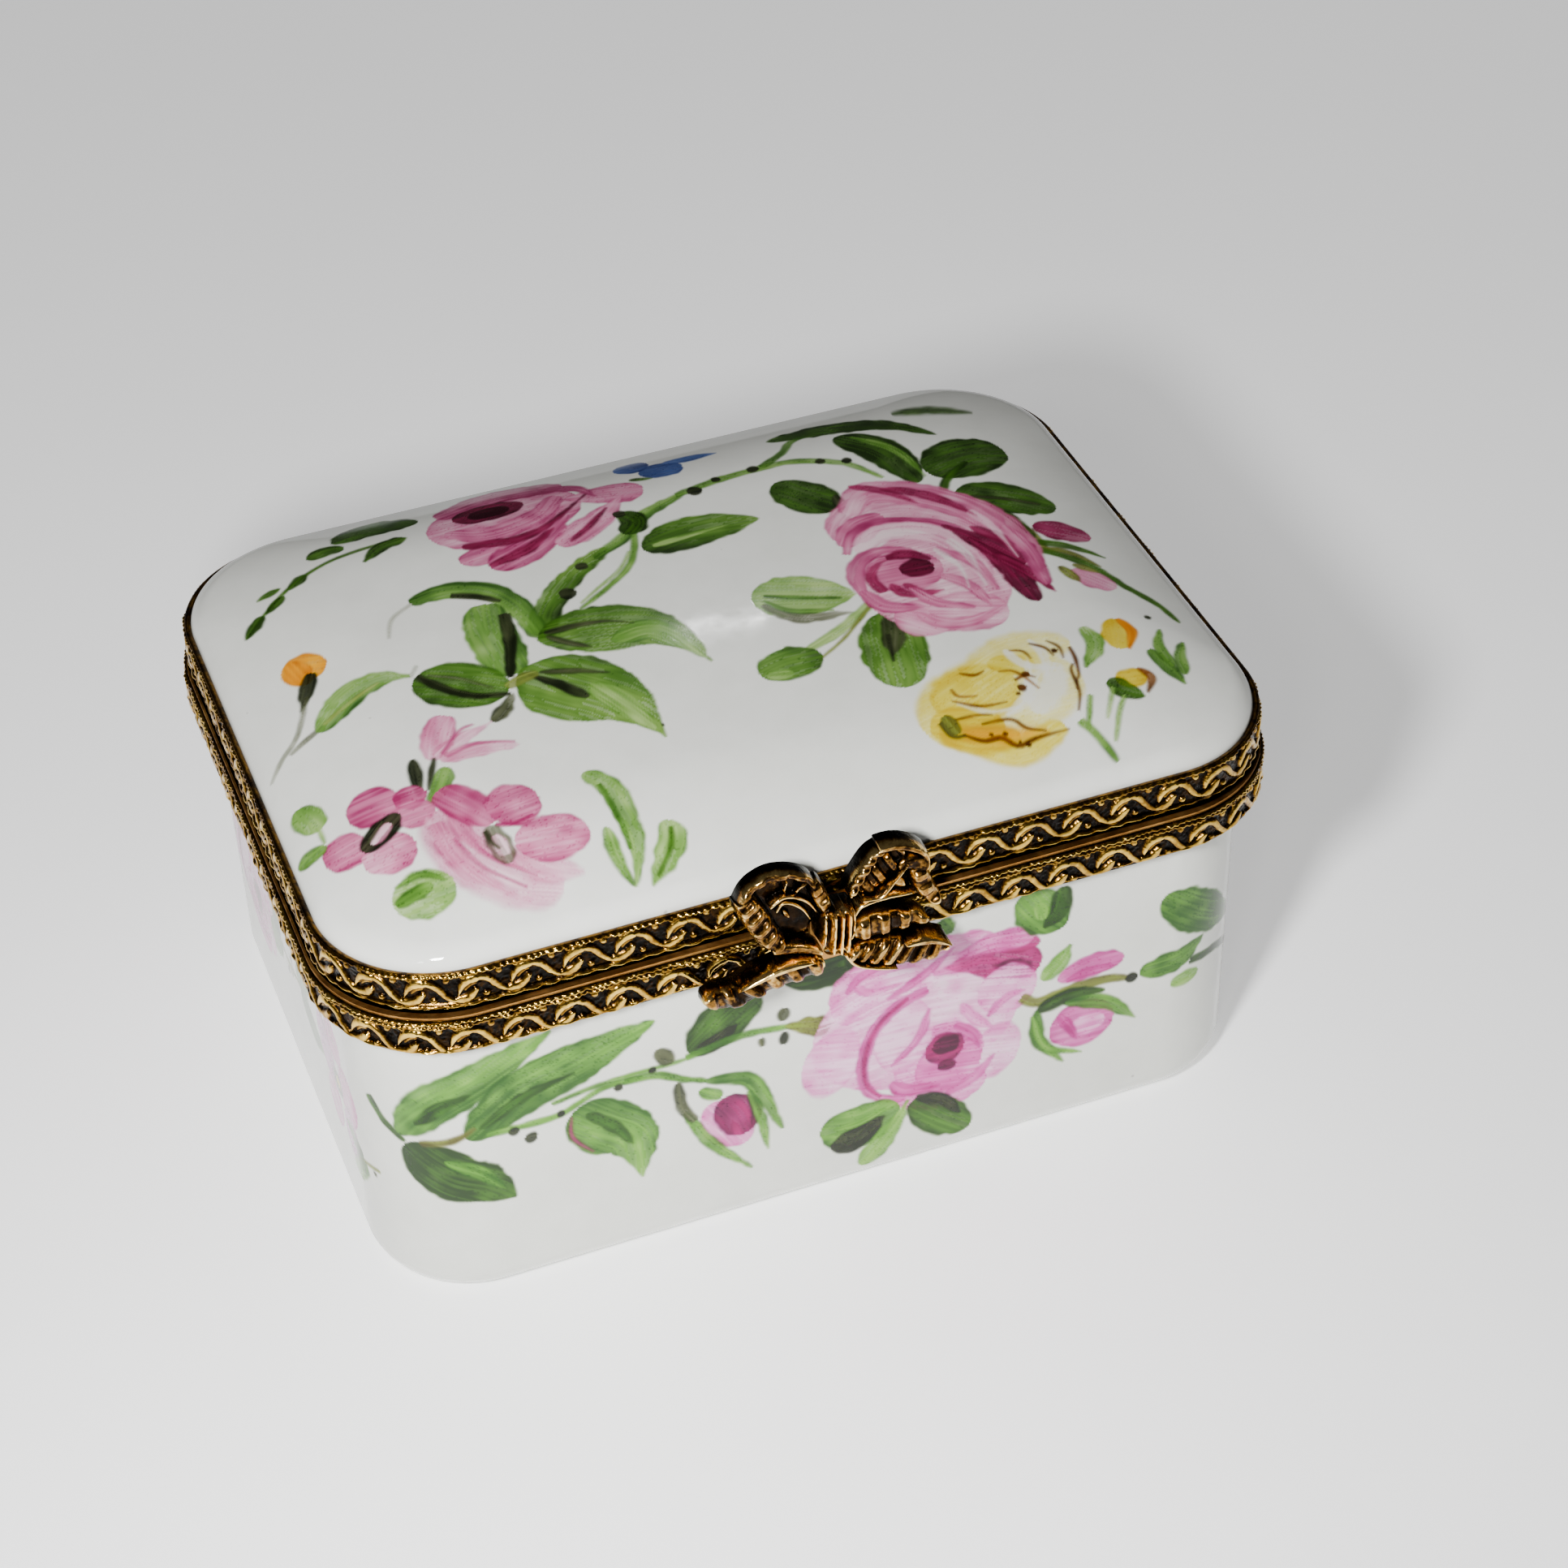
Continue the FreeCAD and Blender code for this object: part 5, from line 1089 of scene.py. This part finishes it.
def make_bow():
    """Bow casting: sculpted front, flat back, outline pulled onto the ribbons' edges."""
    xs = np.arange(BOW_LOW[0] - BOW_MARGIN, BOW_HIGH[0] + BOW_MARGIN, BOW_STEP)
    zs = np.arange(BOW_LOW[2] - BOW_MARGIN, BOW_HIGH[2] + BOW_MARGIN, BOW_STEP)
    x, z = np.meshgrid(xs, zs)
    outline, height = bow_fields(x, z)
    slope_z, slope_x = np.gradient(outline, BOW_STEP)
    steep = np.maximum(np.hypot(slope_x, slope_z), 0.3)
    pull = np.where((outline > 0) & (outline < 2.0 * BOW_STEP), outline / steep ** 2, 0)
    x = np.clip(x - pull * slope_x, BOW_LOW[0], BOW_HIGH[0])
    z = np.clip(z - pull * slope_z, BOW_LOW[2], BOW_HIGH[2])
    solid = outline < 0
    cells = solid[:-1, :-1] | solid[1:, :-1] | solid[:-1, 1:] | solid[1:, 1:]
    used = np.zeros(x.shape, bool)
    for rows in (slice(None, -1), slice(1, None)):
        for columns in (slice(None, -1), slice(1, None)):
            used[rows, columns] |= cells
    rim = used & ~solid
    back_y = BOW_HIGH[1]
    rough = BOW_GRAIN * (noise(x / BOW_GRAIN_SIZE, z / BOW_GRAIN_SIZE) - 0.5)
    height = np.where(rim, BOW_EDGE, np.maximum(height + rough, BOW_FLOOR))
    front = np.stack([x, back_y - height, z], 2)[used]
    back = np.stack([x, np.full(x.shape, back_y), z], 2)[used]
    number = np.full(x.shape, -1)
    number[used] = np.arange(used.sum())
    corner = [number[:-1, :-1], number[:-1, 1:], number[1:, 1:], number[1:, :-1]]
    quads = np.stack([c[cells] for c in corner], 1)
    flipped = quads[:, ::-1] + used.sum()
    sides = border_walls(quads, used.sum())
    faces = np.vstack([quads, flipped, sides])
    bow = build("bow_casting", np.vstack([front, back]), faces, "lid", "clasp_bow", sharp=70)
    # Painted shade: hollows take the dark end of the gilt colours, crests the bright end.
    relief_shade = hollow_shade(height)[used]
    paint_attribute(bow, "relief_shade", np.r_[relief_shade, np.full(used.sum(), BOW_BACK_RELIEF)])
    return bow


def border_walls(quads, offset):
    """Faces that join the open edges of a sheet to its copy offset further on in the vertex list."""
    starts, ends = quads.ravel(), np.roll(quads, -1, 1).ravel()
    key = starts.astype(np.int64) * (offset + 1) + ends
    back = ends.astype(np.int64) * (offset + 1) + starts
    open_edge = ~np.isin(key, back)
    a, b = starts[open_edge], ends[open_edge]
    return np.stack([b, a, a + offset, b + offset], 1)


def hollow_shade(height):
    """Painted shade: 0 in hollows and 1 on crests, from the height against its surroundings."""
    mean = height.copy()
    for _ in range(SHADE_REACH):
        padded = np.pad(mean, 1, mode="edge")
        beside = padded[1:-1, :-2] + padded[1:-1, 2:]
        mean = (padded[:-2, 1:-1] + padded[2:, 1:-1] + beside + mean) / 5
    return np.clip(0.5 + 2.6 * (height - mean) + 0.22 * (height - 1.0), 0, 1)


# ---------------------------------------------------------------- materials

# Colours of the metals from their hollows to their crests, in sRGB 0-255; the dark hollow end is painted
# shade as well as patina
COLLAR_GILT = [(0.08, (7, 4, 1)), (0.34, (50, 32, 11)), (0.62, (140, 101, 33)), (1.0, (228, 188, 84))]
BOW_GILT = [(0.2, (8, 5, 2)), (0.48, (36, 23, 10)), (0.64, (142, 100, 43)), (0.9, (250, 212, 130))]
PLAIN_GILT = [(0.3, (118, 76, 34)), (0.6, (168, 118, 58)), (0.9, (212, 164, 92))]
HINGE_BRASS = [(0.3, (84, 58, 26)), (0.6, (150, 108, 52)), (0.9, (196, 152, 84))]


class Nodes:
    """Short names for building a node tree."""

    def __init__(self, name):
        self.material = bpy.data.materials.new(name)
        self.material.use_nodes = True
        self.tree = self.material.node_tree
        self.shader = self.tree.nodes["Principled BSDF"]
        self.place = self.tree.nodes.new("ShaderNodeTexCoord").outputs["Object"]

    def node(self, kind, **settings):
        made = self.tree.nodes.new(kind)
        for key, value in settings.items():
            setattr(made, key, value)
        return made

    def link(self, source, target):
        self.tree.links.new(source, target)

    def noise(self, scale, detail, roughness=0.6):
        made = self.node("ShaderNodeTexNoise")
        made.inputs["Scale"].default_value = scale
        made.inputs["Detail"].default_value = detail
        made.inputs["Roughness"].default_value = roughness
        self.link(self.place, made.inputs["Vector"])
        return made.outputs["Fac"]

    def attribute(self, name, output):
        return self.node("ShaderNodeAttribute", attribute_name=name).outputs[output]

    def ramp(self, value, stops):
        made = self.node("ShaderNodeValToRGB")
        elements = made.color_ramp.elements
        while len(elements) < len(stops):
            elements.new(0.5)
        for element, (position, colour) in zip(elements, stops):
            element.position = position
            element.color = (*linear(colour), 1.0)
        self.link(value, made.inputs["Fac"])
        return made.outputs["Color"]

    def remap(self, value, low, high, out_low, out_high):
        made = self.node("ShaderNodeMapRange")
        limits = {"From Min": low, "From Max": high, "To Min": out_low, "To Max": out_high}
        for socket, limit in limits.items():
            made.inputs[socket].default_value = limit
        self.link(value, made.inputs["Value"])
        return made.outputs["Result"]

    def sum(self, first, second, share):
        made = self.node("ShaderNodeMath", operation="MULTIPLY_ADD")
        self.link(second, made.inputs[0])
        made.inputs[1].default_value = share
        self.link(first, made.inputs[2])
        return made.outputs["Value"]

    def multiply(self, first, second, factor):
        made = self.node("ShaderNodeMix", data_type="RGBA", blend_type="MULTIPLY")
        self.link(first, made.inputs["A"])
        self.link(second, made.inputs["B"])
        made.inputs["Factor"].default_value = factor
        return made.outputs["Result"]

    def bump(self, height, strength, distance):
        made = self.node("ShaderNodeBump")
        made.inputs["Strength"].default_value = strength
        made.inputs["Distance"].default_value = distance
        self.link(height, made.inputs["Height"])
        self.link(made.outputs["Normal"], self.shader.inputs["Normal"])

    def set(self, **values):
        for key, value in values.items():
            self.shader.inputs[key.replace("_", " ")].default_value = value


def porcelain_material():
    """White glazed porcelain under china painting, with faint mottling and pinholes."""
    n = Nodes("painted_porcelain")
    mottle = n.ramp(n.noise(260.0, 3.0), [(0.3, (247, 247, 245)), (0.7, (255, 255, 254))])
    paint = n.multiply(n.attribute("painting", "Color"), mottle, 1.0)
    cells = n.node("ShaderNodeTexVoronoi")
    cells.inputs["Scale"].default_value = 180.0
    n.link(n.place, cells.inputs["Vector"])
    speck = n.ramp(cells.outputs["Distance"], [(0.012, (120, 112, 100)), (0.028, (255, 255, 255))])
    n.link(n.multiply(paint, speck, 0.5), n.shader.inputs["Base Color"])
    enamel = n.attribute("enamel", "Fac")
    ripple = n.noise(900.0, 3.0)
    n.link(n.remap(n.sum(ripple, enamel, 0.6), 0.3, 1.3, 0.03, 0.16), n.shader.inputs["Roughness"])
    n.bump(n.sum(n.noise(220.0, 2.0), enamel, 0.5), 0.12, 0.00006)
    n.set(IOR=1.45, Specular_IOR_Level=0.3)
    return n.material


def gilt_material(name, stops, roughness, patina_scale):
    """Aged gilt brass: dark in the hollows from painted shade and patina, rubbed bright on the crests."""
    n = Nodes(name)
    relief_shade = n.attribute("relief_shade", "Fac")
    cloud = n.noise(patina_scale, 5.0, 0.7)
    grain = n.noise(2600.0, 3.0)
    # Painted shade: the relief value darkens the hollows before the colour ramp.
    clouded = n.sum(relief_shade, n.remap(cloud, 0.3, 0.7, -0.5, 0.5), 0.42)
    rubbed = n.sum(clouded, n.remap(grain, 0.3, 0.7, -0.5, 0.5), 0.2)
    n.link(n.ramp(rubbed, stops), n.shader.inputs["Base Color"])
    n.link(n.remap(n.sum(grain, rubbed, -0.7), -0.5, 0.7, *roughness), n.shader.inputs["Roughness"])
    n.link(n.remap(rubbed, 0.0, 0.3, 0.92, 1.0), n.shader.inputs["Metallic"])
    n.bump(n.sum(grain, cloud, 0.6), 0.35, 0.00008)
    return n.material


def smooth_brass_material(name, stops, roughness):
    """Plain aged brass: tarnish clouds, fine scratches and handling polish."""
    n = Nodes(name)
    cloud = n.noise(420.0, 5.0, 0.7)
    stretch = n.node("ShaderNodeMapping")
    stretch.inputs["Scale"].default_value = (0.06, 1.0, 1.0)
    n.link(n.place, stretch.inputs["Vector"])
    streaks = n.node("ShaderNodeTexNoise")
    streaks.inputs["Scale"].default_value = 5200.0
    n.link(stretch.outputs["Vector"], streaks.inputs["Vector"])
    scratch = streaks.outputs["Fac"]
    n.link(n.ramp(n.sum(cloud, scratch, 0.25), stops), n.shader.inputs["Base Color"])
    n.link(n.remap(n.sum(cloud, scratch, 0.4), 0.3, 1.0, *roughness), n.shader.inputs["Roughness"])
    n.bump(n.sum(scratch, cloud, 0.5), 0.2, 0.00005)
    n.set(Metallic=1.0)
    return n.material


def plaster_material():
    """Chalky plaster bed under the collars."""
    n = Nodes("plaster")
    grain = n.noise(1500.0, 6.0)
    n.link(n.ramp(grain, [(0.3, (176, 166, 146)), (0.7, (222, 214, 198))]), n.shader.inputs["Base Color"])
    n.link(n.remap(grain, 0.3, 0.7, 0.75, 0.95), n.shader.inputs["Roughness"])
    n.bump(grain, 0.5, 0.0001)
    return n.material


def floor_material():
    """Plain pale paper sweep."""
    n = Nodes("pale_floor")
    fibre = n.noise(40.0, 6.0)
    n.link(n.ramp(fibre, [(0.2, (246, 246, 246)), (0.8, (251, 251, 251))]), n.shader.inputs["Base Color"])
    n.set(Roughness=0.9, Emission_Color=(1.0, 1.0, 1.0, 1.0), Emission_Strength=0.6)
    return n.material


def coat(piece, material):
    """Give a mesh one material."""
    piece.data.materials.clear()
    piece.data.materials.append(material)


def dress():
    """Build the visible pieces and give every piece and CAD node its material."""
    china = porcelain_material()
    collar_gilt = gilt_material("embossed_gilt", COLLAR_GILT, (0.1, 0.34), 700.0)
    bow_gilt = gilt_material("bow_gilt", BOW_GILT, (0.1, 0.32), 520.0)
    plain_gilt = smooth_brass_material("plain_gilt", PLAIN_GILT, (0.3, 0.55))
    hinge_brass = smooth_brass_material("hinge_brass", HINGE_BRASS, (0.24, 0.5))
    plaster = plaster_material()
    coat(make_lid(), china)
    coat(make_walls(), china)
    coat(make_base_collar(), collar_gilt)
    coat(make_lid_collar(), collar_gilt)
    coat(make_bow(), bow_gilt)
    for name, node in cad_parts.items():
        if "cement" in name:
            coat(node, plaster)
        elif "knuckle" in name or name == "hinge_pin":
            coat(node, hinge_brass)
        else:
            coat(node, plain_gilt)


# ---------------------------------------------------------------- floor, lights and camera

FLOOR_HALF = 6.0
LIGHT_TARGET = Vector((0, 0, 18.0 * MM))
WORLD_STRENGTH = 0.05


def add_floor():
    """Large pale floor at the foot."""
    ways = [(-1, -1), (1, -1), (1, 1), (-1, 1)]
    mesh = bpy.data.meshes.new("floor")
    mesh.from_pydata([(FLOOR_HALF * x, FLOOR_HALF * y, 0) for x, y in ways], [], [(0, 1, 2, 3)])
    floor = bpy.data.objects.new("floor", mesh)
    bpy.context.scene.collection.objects.link(floor)
    coat(floor, floor_material())


def direction(azimuth, elevation):
    """Unit vector from the object towards a viewer; azimuth 0 is the front, 90 the right side."""
    a, e = math.radians(azimuth), math.radians(elevation)
    return Vector((math.sin(a) * math.cos(e), -math.cos(a) * math.cos(e), math.sin(e)))


def add_light(name, kind, azimuth, elevation, distance, energy, **settings):
    """One light, aimed at the middle of the box."""
    data = bpy.data.lights.new(name, kind)
    data.energy = energy
    for key, value in settings.items():
        setattr(data, key, value)
    light = bpy.data.objects.new(name, data)
    bpy.context.scene.collection.objects.link(light)
    outwards = direction(azimuth, elevation)
    light.location = LIGHT_TARGET + outwards * distance
    light.rotation_euler = (-outwards).to_track_quat("-Z", "Y").to_euler()


def add_lights():
    """Weak surroundings, a weak sun and a near soft light from the front left, and a strip behind."""
    world = bpy.data.worlds.new("studio")
    bpy.context.scene.world = world
    world.use_nodes = True
    surroundings = world.node_tree.nodes["Background"].inputs
    surroundings["Color"].default_value = (1.0, 1.0, 1.0, 1.0)
    surroundings["Strength"].default_value = WORLD_STRENGTH
    add_light("key", "SUN", -36, 34, 1.0, 0.3, angle=math.radians(5))
    add_light("near_soft", "AREA", -31, 38, 0.13, 0.34, shape="DISK", size=0.016)
    add_light("strip", "AREA", 161, 38.6, 0.5, 0.008, shape="RECTANGLE", size=0.02, size_y=0.002)


def add_camera():
    """Camera at the photographed viewpoint."""
    azimuth, elevation, roll = -20.25, 39.81, math.radians(-1.66)
    distance, target = 212.42 * MM, Vector((0, 0, 20.0 * MM))
    sideways, upwards = 4.70 * MM, -2.57 * MM
    back = direction(azimuth, elevation)
    forward = -back
    level = forward.cross(Vector((0, 0, 1))).normalized()
    lift = level.cross(forward)
    right = math.cos(roll) * level + math.sin(roll) * lift
    up = -math.sin(roll) * level + math.cos(roll) * lift
    data = bpy.data.cameras.new("photo_view")
    data.lens = 77.76
    data.sensor_width = 36.0
    data.shift_x, data.shift_y = -0.0038, 0.0012
    data.clip_start = 0.01
    camera = bpy.data.objects.new("photo_view", data)
    bpy.context.scene.collection.objects.link(camera)
    place = target + back * distance + right * sideways + up * upwards
    turn = Matrix((right, up, back)).transposed().to_4x4()
    camera.matrix_world = Matrix.Translation(place) @ turn
    bpy.context.scene.camera = camera


dress()
add_floor()
add_lights()
add_camera()
